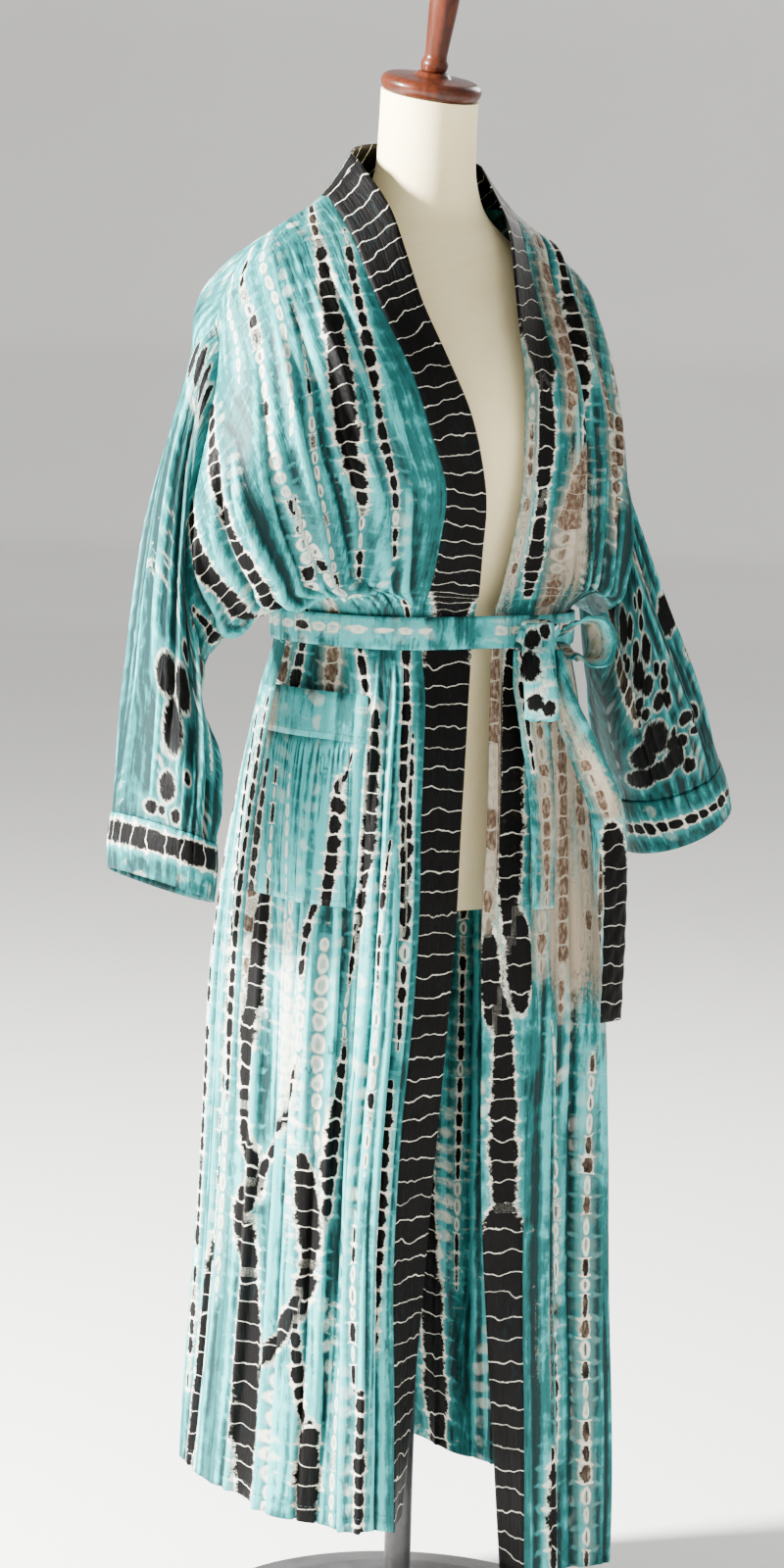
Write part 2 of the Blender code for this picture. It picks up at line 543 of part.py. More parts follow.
def band_panel(side, share, down):
    """Front band between its seam with the front (share 0) and the opening edge (share 1)."""
    front, band = (FRONT_RIGHT, BAND_RIGHT) if side < 0 else (FRONT_LEFT, BAND_LEFT)
    seam = skin(DOWN, np.array(front)[:, :3], down)
    values = table(BAND_COLUMNS, band)
    edge = skin(DOWN, np.stack([values[name] for name in BAND_COLUMNS], axis=-1), down)
    return seam[:, None, :] + (edge - seam)[:, None, :] * share[None, :, None]


def neck_band(across, rise):
    """Band round the back of the neck, between the neck curve and an arc through the front bands' tops."""
    seam = neck_curve(across)
    right, left = np.array(BAND_RIGHT[0]), np.array(BAND_LEFT[0])
    angle = across / NECK_SHARE * math.pi / 2
    middle_x = (right[0] + left[0]) / 2
    half_x = (left[0] - right[0]) / 2
    side_y = right[1] + (left[1] - right[1]) * (np.sin(angle) + 1.0) / 2
    x = middle_x + half_x * np.sin(angle)
    y = side_y + (NECK_BAND_BACK - side_y) * np.cos(angle)
    z = right[2] + (NECK_BAND_TOP - right[2]) * np.cos(angle)
    top = np.stack([x, y, z], axis=-1)
    return seam[None, :, :] + (top - seam)[None, :, :] * rise[:, None, None]


def sleeve_panel(side, round_share, run):
    """Sleeve tube: round_share goes from -1 to 1 over back and front, 0 at the top, run down its length."""
    front, rows = (FRONT_RIGHT, SLEEVE_RIGHT) if side < 0 else (FRONT_LEFT, SLEEVE_LEFT)
    down = np.abs(round_share) * DOWN[UNDERARM_ROW]
    turns = np.radians(table(FRONT_COLUMNS, front)["turn"][:UNDERARM_ROW + 1])
    turn = skin(DOWN[:UNDERARM_ROW + 1], turns, down) * np.sign(round_share)
    by_front = skin(DOWN, side_rows(front, rows, False), down)
    by_back = skin(DOWN, side_rows(front, rows, True), down)
    armhole = np.where(round_share[:, None] < 0, by_back, by_front)
    curves = [armhole]
    for k in range(1, len(rows)):
        curves.append(sleeve_section(rows, k, turn))
    runs = table(SLEEVE_COLUMNS, rows)["run"]
    return skin(runs, curves, run)


def split_rows(first, last):
    """Lengths of the grid rows between two rows of DOWN, each stretch cut as ROW_SPLITS says."""
    lengths = [DOWN[first]]
    for k in range(first, last):
        for part in range(1, ROW_SPLITS[k] + 1):
            lengths.append(DOWN[k] + (DOWN[k + 1] - DOWN[k]) * part / ROW_SPLITS[k])
    return np.array(lengths)


def sheet_mesh(name, grid, flip=False, closed=False):
    """Mesh of quads over a grid of points, closed round its columns if asked."""
    rows, columns = grid.shape[:2]
    index = np.arange(rows * columns).reshape(rows, columns)
    if closed:
        index = np.concatenate([index, index[:, :1]], axis=1)
    corners = [index[:-1, :-1], index[:-1, 1:], index[1:, 1:], index[1:, :-1]]
    faces = np.stack(corners, axis=-1).reshape(-1, 4)
    if flip:
        faces = faces[:, ::-1]
    mesh = bpy.data.meshes.new(name)
    mesh.from_pydata(grid.reshape(-1, 3).tolist(), [], faces.tolist())
    mesh.update()
    return mesh


def add_cloth(parts, name, grid, material, thickness=CLOTH, offset=1.0, flip=False, closed=False):
    """Cloth sheet with its wall: offset 1 builds outward, -1 inward and 0 both ways."""
    item = add_object(parts, name, sheet_mesh(name, grid, flip, closed), material)
    wall = item.modifiers.new("Wall", "SOLIDIFY")
    wall.thickness = thickness
    wall.offset = offset
    return item


def trimmed(count, low=0.0, high=1.0, trim=0.002):
    """Even shares from low to high with a small trim at both ends for the seams."""
    shares = np.linspace(low, high, count + 1)
    shares[0] += trim
    shares[-1] -= trim
    return shares


def ease_seam(grid, down, columns):
    """Draws a panel's outer columns in a little round the armhole and under the arm, as SEAM_EASE says."""
    values = table(EASE_COLUMNS, SEAM_EASE)
    by = np.interp(down, values["down"], values["by"])[:, None]
    for edge, inner in columns:
        step = grid[:, inner] - grid[:, edge]
        grid[:, edge] += step / np.linalg.norm(step, axis=1, keepdims=True) * by
    return grid


def back_columns(shoulder):
    """Columns of the back: those of the fronts over each shoulder, even cells round the neck."""
    out = NECK_SHARE + (1.0 - NECK_SHARE) * shoulder
    neck = np.linspace(-NECK_SHARE, NECK_SHARE, NECK_CELLS + 1)[1:-1]
    return np.concatenate([-out[::-1], neck, out])


def panel_rows():
    """Lengths of all the grid rows of a body panel, the first a little below the shoulder seam."""
    down = split_rows(0, len(DOWN) - 1)
    down[0] += SEAM_GAP / 2
    return down


def front_grid(side):
    """Grid of a front panel, which its pocket reuses."""
    down = panel_rows()
    return ease_seam(front_panel(side, trimmed(FRONT_CELLS), down), down, ((-1, -2),))


def build_body(parts):
    """Back and both fronts."""
    down = panel_rows()
    back = ease_seam(back_panel(back_columns(trimmed(FRONT_CELLS)), down), down, ((0, 1), (-1, -2)))
    add_cloth(parts, "back", back, "teal")
    add_cloth(parts, "front_right", front_grid(-1), "teal")
    add_cloth(parts, "front_left", front_grid(1), "teal", flip=True)


def build_bands(parts):
    """Front bands on the opening edges and the band round the neck."""
    down = panel_rows()
    share = np.linspace(0.0, 1.0, BAND_CELLS + 1)
    share[0] = BAND_START
    for side, name in ((-1, "band_right"), (1, "band_left")):
        grid = band_panel(side, share, down)
        add_cloth(parts, name, grid, "charcoal", BAND_CLOTH, 0.0, flip=side > 0)
    across = trimmed(NECK_CELLS, -NECK_SHARE, NECK_SHARE, NECK_BAND_TRIM)
    rise = np.array([NECK_BAND_START, 0.5, 1.0])
    add_cloth(parts, "band_neck", neck_band(across, rise), "charcoal", BAND_CLOTH, 0.0)


def build_sleeves(parts):
    """Sleeves and their cuffs."""
    for side, name in ((-1, "right"), (1, "left")):
        rows = SLEEVE_RIGHT if side < 0 else SLEEVE_LEFT
        knots = table(SLEEVE_COLUMNS, rows)["run"]
        runs = [knots[0]]
        for k, splits in enumerate(SLEEVE_SPLITS):
            for part in range(1, splits + 1):
                runs.append(knots[k] + (knots[k + 1] - knots[k]) * part / splits)
        runs = np.array(runs)
        runs[0] += SLEEVE_START
        runs[-1] -= CUFF_GAP
        half = np.array(DOWN[:UNDERARM_ROW + 1]) / DOWN[UNDERARM_ROW]
        ring = np.concatenate([-half[:0:-1], half[:-1]])
        grid = sleeve_panel(side, ring, runs)
        grid[0] += (grid[1] - grid[0]) * (SLEEVE_EASE * ring**4)[:, None]
        add_cloth(parts, "sleeve_" + name, grid, "teal", CLOTH, -1.0, flip=side < 0, closed=True)
        cuff_runs = np.linspace(knots[-2] + CUFF_GAP, knots[-1], CUFF_SPLITS + 1)
        cuff = sleeve_panel(side, ring, cuff_runs)
        add_cloth(parts, "cuff_" + name, cuff, "charcoal", BAND_CLOTH, 0.0, flip=side < 0, closed=True)


def build_pockets(parts):
    """Patch pockets made from the points of the front they lie on, moved out."""
    pockets = ((-1, "pocket_right", POCKET_RIGHT, 0.0), (1, "pocket_left", POCKET_LEFT, POCKET_LEFT_GAPE))
    for side, name, cells, gape in pockets:
        grid = front_grid(side)
        outward = normals_of(grid) * -side
        cell = dict(zip(POCKET_COLUMNS, cells))
        first, last, top, seam, bottom = [cell[key] for key in POCKET_COLUMNS]
        columns = slice(first, last + 1)
        patch = grid[top:bottom + 1, columns]
        lift = outward[top:bottom + 1, columns]
        u = np.linspace(0.0, 1.0, last - first + 1)[None, :]
        v = np.linspace(0.0, 1.0, bottom - top + 1)[:, None]
        swell = POCKET_SWELL * np.sin(math.pi * u) * np.sin(math.pi * (0.15 + 0.80 * v))
        mouth = gape * np.sin(math.pi * u) ** 2 * np.clip(1.0 - v * 1.15, 0.0, 1.0)
        pleats = POCKET_PLEAT_DEPTH * np.cos(2 * math.pi * POCKET_PLEATS * u) * np.sin(math.pi * u)
        below = (v > (seam - top) / (bottom - top)).astype(float)
        raised = CLOTH + LAY_GAP + np.maximum(swell, 0.0) + mouth + np.maximum(pleats, 0.0) * below
        surface = patch + lift * raised[..., None]
        body = surface[seam - top:].copy()
        body[0] = body[0] + (body[1] - body[0]) * POCKET_SEAM_SHARE
        band = surface[:seam - top + 1]
        add_cloth(parts, name, body, "teal", flip=side > 0)
        add_cloth(parts, name + "_band", band, "light_teal", flip=side > 0)


def belt_ring():
    """Belt round the waist, made from the points of the panels and bands under it."""
    down = np.array([DOWN[BELT_TOP_ROW], DOWN[BELT_LOW_ROW]])
    across = np.linspace(0.0, 1.0, FRONT_CELLS + 1)
    share = np.linspace(0.0, 1.0, BAND_CELLS + 1)[1:]
    right = np.concatenate([band_panel(-1, share, down)[:, ::-1], front_panel(-1, across, down)], axis=1)
    left = np.concatenate([front_panel(1, across, down)[:, ::-1], band_panel(1, share, down)], axis=1)
    back = back_panel(back_columns(across), down)
    ring = np.concatenate([right, back[:, 1:-1], left], axis=1)
    return np.stack([ring[0] + (ring[1] - ring[0]) * share for share in BELT_SPAN])


def strip(rows, stations):
    """Flat strip of the belt's width along a smooth path."""
    values = table(STRIP_COLUMNS, rows)
    middle = np.stack([values["x"], values["y"], values["z"]], axis=-1)
    across = np.stack([values["width_x"], values["width_y"], values["width_z"]], axis=-1)
    knots = np.concatenate([[0.0], np.cumsum(np.linalg.norm(np.diff(middle, axis=0), axis=1))])
    at = np.linspace(0.0, knots[-1], stations)
    path = skin(knots, middle, at)
    width = skin(knots, across, at)
    along = np.gradient(path, axis=0)
    along /= np.linalg.norm(along, axis=1, keepdims=True)
    width -= along * np.sum(width * along, axis=1, keepdims=True)
    width /= np.linalg.norm(width, axis=1, keepdims=True)
    half = width * BELT_WIDTH / 2
    return np.stack([path - half, path, path + half], axis=1)


def build_belt(parts):
    """Belt round the waist, knot, two loops and two tails."""
    ring = belt_ring()
    flat = ring * np.array([1.0, 1.0, 0.0])
    tangent = np.roll(flat, -1, axis=1) - np.roll(flat, 1, axis=1)
    out = np.stack([-tangent[..., 1], tangent[..., 0], 0 * tangent[..., 0]], axis=-1)
    out /= np.linalg.norm(out, axis=-1, keepdims=True)
    sign = np.sign(np.sum(out * flat, axis=-1, keepdims=True))
    ring = ring + out * sign * (CLOTH + BELT_CLEAR)
    add_cloth(parts, "belt_wrap", ring, "light_teal", BELT_CLOTH, closed=True)

    bpy.ops.mesh.primitive_cube_add(size=1.0)
    knot = bpy.context.active_object
    knot.name = "belt_knot"
    knot.data.name = "belt_knot"
    knot.data.transform(Matrix.Diagonal(Vector(KNOT_SIZE + (1.0,))))
    knot.location = KNOT_PLACE
    knot.data.materials.append(finish_material("charcoal"))
    for collection in list(knot.users_collection):
        collection.objects.unlink(knot)
    parts.objects.link(knot)
    round_edges = knot.modifiers.new("Soft edges", "BEVEL")
    round_edges.width = KNOT_ROUND
    round_edges.segments = 2
    knot.data.shade_smooth()

    strips = (("bow_loop_front", LOOP_FRONT, "light_teal"), ("bow_loop_side", LOOP_SIDE, "light_teal"),
              ("belt_tail_front", TAIL_FRONT, "teal"), ("belt_tail_side", TAIL_SIDE, "charcoal"))
    for name, rows, material in strips:
        add_cloth(parts, name, strip(rows, STRIP_STATIONS), material, BELT_CLOTH, 0.0)


def form_rings(levels):
    """Rings of the dress form, leaning forward at the neck."""
    values = table(FORM_COLUMNS, FORM)
    columns = np.stack([values[name] for name in FORM_COLUMNS[1:]], axis=-1)
    read = skin(values["z"], columns, levels)
    turn = np.linspace(0.0, 2 * math.pi, FORM_SIDES, endpoint=False)
    middle = (read[:, 1] + read[:, 2]) / 2
    depth = (read[:, 2] - read[:, 1]) / 2
    x = read[:, 0:1] * np.sign(np.cos(turn)) * np.abs(np.cos(turn)) ** FORM_SQUARE
    y = middle[:, None] + depth[:, None] * np.sign(np.sin(turn)) * np.abs(np.sin(turn)) ** FORM_SQUARE
    lean = read[:, 3:4] * math.tan(NECK_TILT)
    z = levels[:, None] + (y - middle[:, None]) * lean
    return np.stack([x, y, z], axis=-1)


def build_form(parts):
    """Torso with its neck, a closed loft."""
    values = table(FORM_COLUMNS, FORM)["z"]
    levels = np.unique(np.concatenate([values, np.linspace(values[0], values[-1], FORM_ROWS)]).round(3))
    keep = [levels[0]]
    for level in levels[1:]:
        if level - keep[-1] >= FORM_LEAST_STEP:
            keep.append(level)
    keep[-1] = levels[-1]
    rings = form_rings(np.array(keep))
    rows, sides = rings.shape[:2]
    mesh = bpy.data.meshes.new("form_torso")
    shell = bmesh.new()
    points = [[shell.verts.new(point) for point in ring] for ring in rings]
    for k in range(rows - 1):
        for i in range(sides):
            j = (i + 1) % sides
            shell.faces.new((points[k][i], points[k][j], points[k + 1][j], points[k + 1][i]))
    shell.faces.new(list(reversed(points[0])))
    shell.faces.new(points[-1])
    bmesh.ops.recalc_face_normals(shell, faces=shell.faces)
    shell.to_mesh(mesh)
    shell.free()
    item = add_object(parts, "form_torso", mesh, "cream")
    mesh.set_sharp_from_angle(angle=math.radians(50))
    return item


def turned(parts, name, profile, steps, material):
    """Turned piece: a profile screwed round the Z axis."""
    mesh = bpy.data.meshes.new(name)
    values = table(TURNED_COLUMNS, profile)
    points = [(radius, 0.0, height) for radius, height in zip(values["radius"], values["height"])]
    edges = [(i, i + 1) for i in range(len(points) - 1)]
    mesh.from_pydata(points, edges, [])
    item = add_object(parts, name, mesh, material)
    screw = item.modifiers.new("Turning", "SCREW")
    screw.steps = steps
    screw.render_steps = steps
    screw.use_merge_vertices = True
    screw.merge_threshold = 0.00005
    screw.use_smooth_shade = True
    return item


def build_stand(parts):
    """Neck cap, finial, pole and base."""
    values = table(FORM_COLUMNS, FORM)
    top = Vector((0.0, (values["y_front"][-1] + values["y_back"][-1]) / 2, values["z"][-1]))
    tilt = Matrix.Rotation(NECK_TILT, 4, "X")
    axis = tilt @ Vector((0.0, 0.0, 1.0))
    cap = turned(parts, "neck_cap", NECK_CAP_PROFILE, TURNED_STEPS, "mahogany")
    cap.matrix_world = Matrix.Translation(top + axis * SEAT_GAP) @ tilt
    cap_height = NECK_CAP_PROFILE[0][1]
    finial = turned(parts, "finial", FINIAL_PROFILE, TURNED_STEPS, "mahogany")
    finial.matrix_world = Matrix.Translation(top + axis * (cap_height + 2 * SEAT_GAP)) @ tilt
    turned(parts, "stand_base", BASE_PROFILE, BASE_STEPS, "black_metal")

    low = BASE_PROFILE[0][1] + SEAT_GAP
    high = values["z"][0] - SEAT_GAP
    bpy.ops.mesh.primitive_cylinder_add(vertices=24, radius=POLE_RADIUS, depth=high - low)
    pole = bpy.context.active_object
    pole.name = "stand_pole"
    pole.data.name = "stand_pole"
    pole.location = (0.0, 0.0, (low + high) / 2)
    pole.data.materials.append(finish_material("black_metal"))
    pole.data.shade_smooth()
    pole.data.set_sharp_from_angle(angle=math.radians(50))
    for collection in list(pole.users_collection):
        collection.objects.unlink(pole)
    parts.objects.link(pole)


def build_carriers(parts):
    """Thread loops at the side seams that hold the belt."""
    seams = (("belt_carrier_right", side_rows(FRONT_RIGHT, SLEEVE_RIGHT, False), -1.0),
             ("belt_carrier_left", side_rows(FRONT_LEFT, SLEEVE_LEFT, False), 1.0))
    for name, rows, side in seams:
        top, low = rows[BELT_TOP_ROW], rows[BELT_LOW_ROW]
        x, y, z = top + (low - top) * sum(BELT_SPAN) / 2
        clear = CLOTH + BELT_CLEAR + BELT_CLOTH + CARRIER_RADIUS + LAY_GAP
        near = CLOTH + CARRIER_RADIUS + LAY_GAP
        curve = bpy.data.curves.new(name, "CURVE")
        curve.dimensions = "3D"
        curve.bevel_depth = CARRIER_RADIUS
        curve.bevel_resolution = 1
        curve.use_fill_caps = True
        line = curve.splines.new("POLY")
        places = ((-1.0, near), (-CARRIER_TURN, clear), (0.0, clear + CARRIER_BOW), (CARRIER_TURN, clear),
                  (1.0, near))
        line.points.add(len(places) - 1)
        for point, (share, out) in zip(line.points, places):
            point.co = (x + side * out, y, z + share * CARRIER_HALF, 1.0)
        item = bpy.data.objects.new(name, curve)
        curve.materials.append(finish_material("teal"))
        parts.objects.link(item)


def main():
    parts = clear_scene()
    build_body(parts)
    build_bands(parts)
    build_sleeves(parts)
    build_pockets(parts)
    build_belt(parts)
    build_carriers(parts)
    build_form(parts)
    build_stand(parts)


main()
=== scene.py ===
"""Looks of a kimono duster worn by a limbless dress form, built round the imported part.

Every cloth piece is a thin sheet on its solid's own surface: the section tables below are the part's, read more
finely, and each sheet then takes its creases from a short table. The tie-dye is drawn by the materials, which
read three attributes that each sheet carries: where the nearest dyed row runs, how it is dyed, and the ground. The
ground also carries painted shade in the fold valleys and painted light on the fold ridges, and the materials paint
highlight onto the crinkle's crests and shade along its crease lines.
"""

import math

import bmesh
import bpy
import numpy as np
from bpy.props import FloatProperty, FloatVectorProperty, PointerProperty
from mathutils import Matrix, Vector


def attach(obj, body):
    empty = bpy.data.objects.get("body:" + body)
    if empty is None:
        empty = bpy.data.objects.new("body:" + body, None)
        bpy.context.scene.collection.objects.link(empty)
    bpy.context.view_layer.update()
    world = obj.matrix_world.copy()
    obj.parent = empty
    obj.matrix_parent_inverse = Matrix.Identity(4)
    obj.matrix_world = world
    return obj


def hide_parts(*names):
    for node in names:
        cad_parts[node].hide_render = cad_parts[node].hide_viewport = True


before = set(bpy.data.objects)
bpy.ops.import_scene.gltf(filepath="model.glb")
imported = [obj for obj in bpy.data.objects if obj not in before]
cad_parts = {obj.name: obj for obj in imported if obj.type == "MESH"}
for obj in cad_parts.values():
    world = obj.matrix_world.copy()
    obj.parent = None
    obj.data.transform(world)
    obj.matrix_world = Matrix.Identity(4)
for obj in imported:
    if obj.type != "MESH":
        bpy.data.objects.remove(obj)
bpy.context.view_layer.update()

bl_info = {
    "name": "Kimono duster on a dress form",
    "version": (1, 0, 0),
    "blender": (4, 5, 0),
    "location": "3D View > Sidebar > Duster",
    "description": "Builds the looks of a tie-dyed kimono duster on a dress form",
    "category": "Object",
}


# Walls and gaps
CLOTH = 0.0016
BELT_CLOTH = 0.0018
SEAM_GAP = 0.0006
LAY_GAP = 0.0005
SEAT_GAP = 0.0003

# Grid of a panel: cells across a front, rows down each stretch between two section rows
FRONT_CELLS = 12
ROW_SPLITS = (
    1, 1, 1, 1, 1, 1, 1, 1, 2, 1, 1, 1, 1, 2, 2, 2, 2, 2, 1, 2,
)

# Rows shared by every body panel, as the length of cloth below the shoulder seam
UNDERARM_ROW = 8
BELT_TOP_ROW = 10
BELT_LOW_ROW = 11
DOWN = (
    0, 0.05, 0.1, 0.15, 0.2, 0.26, 0.32, 0.38, 0.43, 0.47, 0.49, 0.525, 0.57, 0.615, 0.69, 0.77, 0.86, 0.99,
    1.13, 1.22, 1.37,
)

# Columns that the tables give as they are: all others are in millimetres or thousandths of a share
AS_WRITTEN = ("turn", "round", "sag", "ink", "brown", "light", "white", "cream", "lean", "width_x", "width_y",
              "width_z")
# What a column says in the rows that leave it off
DEFAULTS = {
    "ink": 1, "brown": 0, "white": 0, "cream": 0, "drift": 0, "bow": 0, "round": 0.9, "sag": 1, "lean": 0,
}

# Front panels, a row for each length in DOWN: the seam with the front band, then the outer edge.
# Down to the underarm the outer edge lies on the armhole, at the angle "turn" from its top, and below
# the underarm it is the side seam. "round" squares the section's corner and "sag" holds it up.
FRONT_COLUMNS = ("x_band", "y_band", "z_band", "turn", "x_side", "y_side", "z_side", "round", "sag")
FRONT_RIGHT = (
    (-112, 20, 1428, 0, 0, 0, 0, 1), (-117, -30, 1392, 28, 0, 0, 0, 0.95, 1.8),
    (-123, -70, 1351, 46, 0, 0, 0, 0.95, 1.8), (-119, -100, 1309, 64, 0, 0, 0, 0.95, 1.8),
    (-105, -120, 1265, 82, 0, 0, 0, 0.95, 1.6), (-88, -130, 1209, 102, 0, 0, 0, 0.95, 1.6),
    (-66, -127, 1154, 124, 0, 0, 0, 0.95, 1.8), (-68, -120, 1098, 150, 0, 0, 0, 0.92, 2.2),
    (-73, -115, 1060, 180, 0, 0, 0, 0.92, 2.8), (-76, -112, 1047, 0, -178, 8, 1066),
    (-77, -110, 1037, 0, -150, 15, 1037, 0.95), (-78, -111, 1001, 0, -150, 15, 1002, 0.95),
    (-80, -122, 956, 0, -160, 15, 960, 0.92), (-86, -131, 911, 0, -168, 15, 916),
    (-93, -140, 836, 0, -179, 15, 840), (-96, -146, 756, 0, -188, 14, 762),
    (-103, -151, 666, 0, -194, 12, 672), (-118, -157, 536, 0, -198, 10, 542),
    (-124, -161, 396, 0, -203, 10, 404), (-122, -164, 306, 0, -208, 10, 316),
    (-119, -166, 160, 0, -217, 12, 176),
)
FRONT_LEFT = (
    (104, 20, 1424, 0, 0, 0, 0, 1), (85, -26, 1398, 28, 0, 0, 0, 0.95, 1.8),
    (75, -58, 1356, 46, 0, 0, 0, 1.05, 1.8), (72, -84, 1311, 64, 0, 0, 0, 1.05, 1.8),
    (75, -105, 1263, 82, 0, 0, 0, 1.05, 1.6), (73, -116, 1205, 102, 0, 0, 0, 1.05, 1.6),
    (67, -118, 1150, 124, 0, 0, 0, 1, 1.8), (62, -114, 1094, 150, 0, 0, 0, 0.95, 1.6),
    (58, -112, 1064, 180, 0, 0, 0, 0.95, 1.5), (55, -111, 1047, 0, 178, 8, 1056),
    (53, -110, 1037, 0, 150, 15, 1037, 0.95), (51, -111, 1001, 0, 150, 15, 1002, 0.95),
    (46, -120, 954, 0, 158, 15, 955, 0.92), (41, -129, 908, 0, 165, 15, 908),
    (35, -140, 828, 0, 175, 15, 828), (32, -149, 742, 0, 182, 14, 740), (33, -155, 647, 0, 188, 12, 642),
    (26, -161, 507, 0, 194, 10, 500), (26, -165, 357, 0, 201, 10, 350), (31, -166, 257, 0, 208, 10, 250),
    (37, -167, 88, 0, 220, 12, 78),
)

# Opening edge of each front band: x, y and z for each length in DOWN
BAND_RIGHT = (
    (-81, 16, 1464), (-81, -40, 1420), (-82, -74, 1373), (-77, -95, 1329), (-62, -119, 1276),
    (-38, -128, 1219), (-20, -127, 1150), (-18, -121, 1094), (-17, -116, 1056), (-17, -113, 1046),
    (-18, -111, 1037), (-21, -112, 1001), (-30, -122, 956), (-37, -130, 911), (-46, -139, 836),
    (-51, -143, 756), (-59, -147, 666), (-70, -148, 536), (-76, -142, 396), (-79, -137, 306),
    (-84, -128, 162),
)
BAND_LEFT = (
    (66, 20, 1464), (54, -46, 1406), (40, -80, 1354), (29, -105, 1311), (28, -119, 1266), (27, -122, 1207),
    (26, -122, 1151), (18, -118, 1094), (12, -114, 1060), (9, -112, 1046), (6, -111, 1037), (3, -112, 1001),
    (-3, -121, 954), (-8, -128, 908), (-14, -138, 828), (-22, -145, 742), (-22, -150, 647), (-20, -153, 507),
    (-4, -146, 357), (12, -138, 257), (36, -128, 90),
)

# Back panel, a row for each length in DOWN: how far back and how high its middle runs
BACK_COLUMNS = ("y_middle", "z_middle", "round", "sag")
BACK = (
    (84, 1432, 1), (104, 1390, 0.95, 1.8), (112, 1342, 0.95, 1.8), (117, 1292, 0.92, 1.8),
    (120, 1242, 0.92, 1.6), (124, 1182, 0.9, 1.6), (128, 1130, 0.9, 1.6), (130, 1084, 0.9, 1.8),
    (127, 1060, 0.9, 1.8), (117, 1050, 0.88), (108, 1037, 0.92), (108, 1001, 0.92), (118, 958), (128, 914),
    (140, 838), (148, 760), (153, 670, 0.88), (158, 542, 0.88), (163, 404, 0.88), (167, 316, 0.88),
    (175, 172, 0.88),
)
# Half the neck opening as a share of half the back, the shoulder's rounding and the neck band's arc
NECK_SHARE = 0.36
SHOULDER_CREST = 0.042
NECK_BAND_BACK = 0.0674
NECK_BAND_TOP = 1.484

# Sleeves, a row for each section from the armhole to the cuff's end
SLEEVE_COLUMNS = ("run", "x_out", "z_out", "x_in", "z_in", "front", "back", "bow")
SLEEVE_RIGHT = (
    (0, -247, 1304, -246, 992, 24, 38, -42), (30, -259, 1293, -251, 980, 25, 36, -41),
    (120, -280, 1238, -256, 942, 28, 37, -34), (280, -301, 1152, -256, 915, 40, 41, -22),
    (460, -314, 1060, -252, 890, 52, 47, -8), (660, -322, 965, -248, 866, 62, 56),
    (840, -329, 897, -250, 838, 71, 62), (1000, -334, 843, -253, 812, 73, 65),
    (1140, -336, 790, -256, 758, 74, 66),
)
SLEEVE_LEFT = (
    (0, 172, 1307, 208, 1022, 36, 40, -2), (30, 182, 1300, 217, 1012, 36, 39),
    (120, 199, 1245, 219, 980, 39, 41), (280, 226, 1162, 221, 950, 47, 47),
    (460, 261, 1075, 227, 922, 57, 55), (660, 303, 990, 237, 888, 64, 62), (840, 335, 925, 247, 858, 66, 65),
    (1000, 355, 876, 257, 830, 67, 66), (1140, 371, 832, 268, 776, 68, 67),
)
BACK_BOW = 0.10


# Largest folds of each panel: where across (0 at the front band or the back's middle, 1 at the side seam),
# depth (outward is positive), half width across, the cloth length where it starts and ends, and its drift
FOLD_COLUMNS = ("across", "depth", "reach", "start", "end", "drift")
FOLDS_RIGHT = (
    (200, 10, 90, 530, 1600, 40), (440, -13, 80, 530, 1600, -40), (620, 9, 80, 530, 1600, 20),
    (860, -8, 70, 600, 1600, -30), (300, -7, 100, 160, 480, 100), (550, 9, 120, 140, 490, 120),
)
FOLDS_LEFT = (
    (140, -16, 70, 600, 1700, 20), (340, 12, 90, 530, 1600, 30), (550, -10, 80, 530, 1600, 20),
    (780, 8, 80, 530, 1600, -30), (450, -7, 70, -100, 360, 180), (620, 10, 100, -50, 480, 100),
)
FOLDS_BACK = (
    (-820, -10, 60, 530, 1600, 30), (-640, 11, 60, 530, 1600, 20), (-420, -12, 70, 530, 1600, 30),
    (-160, 12, 70, 530, 1600, -20), (60, -11, 60, 600, 1600, 20), (280, 12, 70, 530, 1600, 20),
    (500, -12, 70, 530, 1600, -30), (740, 10, 70, 530, 1600, 20), (-500, 9, 100, 100, 480, -60),
    (460, 9, 100, 100, 480, 60), (0, -7, 90, 120, 480),
)
FOLD_FADE = 0.34
# Cloth lengths and width shares over which a fold grows from a seam or from the belt
HOLD_EDGE = 0.10
HOLD_FRONT_TOP = 0.03
HOLD_BACK_TOP = 0.05
HOLD_BELT = 0.05
HOLD_BELT_FREE = 0.35

# Patch pockets, as cells of the front panel's grid: first and last column, top row, band row and bottom row
POCKET_RIGHT = (5, 12, 13, 14, 18)
POCKET_LEFT = (6, 12, 15, 16, 20)
POCKET_SWELL = 0.006
POCKET_LEFT_GAPE = 0.020

# Tie belt
BELT_CLEAR = 0.0008
BELT_SPAN = (0.12, 0.98)
KNOT_PLACE = (0.045, -0.1294, 1.016)
KNOT_SIZE = (0.042, 0.0272, 0.030)
BELT_WIDTH = 0.033
# Middle line of each loop and tail, with the direction that the belt's width points in
STRIP_COLUMNS = ("x", "y", "z", "width_x", "width_y", "width_z")
LOOP_FRONT = (
    (36, -144.4, 1028, 1, 0, 0), (36, -144.6, 1014, 1, 0, 0), (28, -154, 994, 0.96, -0.25, 0.05),
    (26, -164, 960, 0.9, -0.42, 0), (30, -160, 938, 0.88, -0.47, 0), (38, -149, 943, 0.88, -0.47, 0),
    (39, -145, 970, 0.94, -0.3, 0), (37, -142.5, 999.5, 0.98, -0.15, 0),
)
LOOP_SIDE = (
    (66.3, -136, 1018, 0, -0.9, 0.42), (75.5, -137, 1022, 0, -0.83, 0.55),
    (88, -142, 1030, 0.15, -0.93, 0.25), (100, -146, 1028, 0.3, -0.94, 0.1),
    (108.5, -148, 1010, 0.38, -0.92, 0), (102, -149, 992, 0.36, -0.93, -0.05),
    (89, -146, 989, 0.15, -0.95, -0.2), (76.5, -140, 999, 0, -0.9, -0.42), (67.5, -138, 1000, 0, -0.9, -0.42),
)
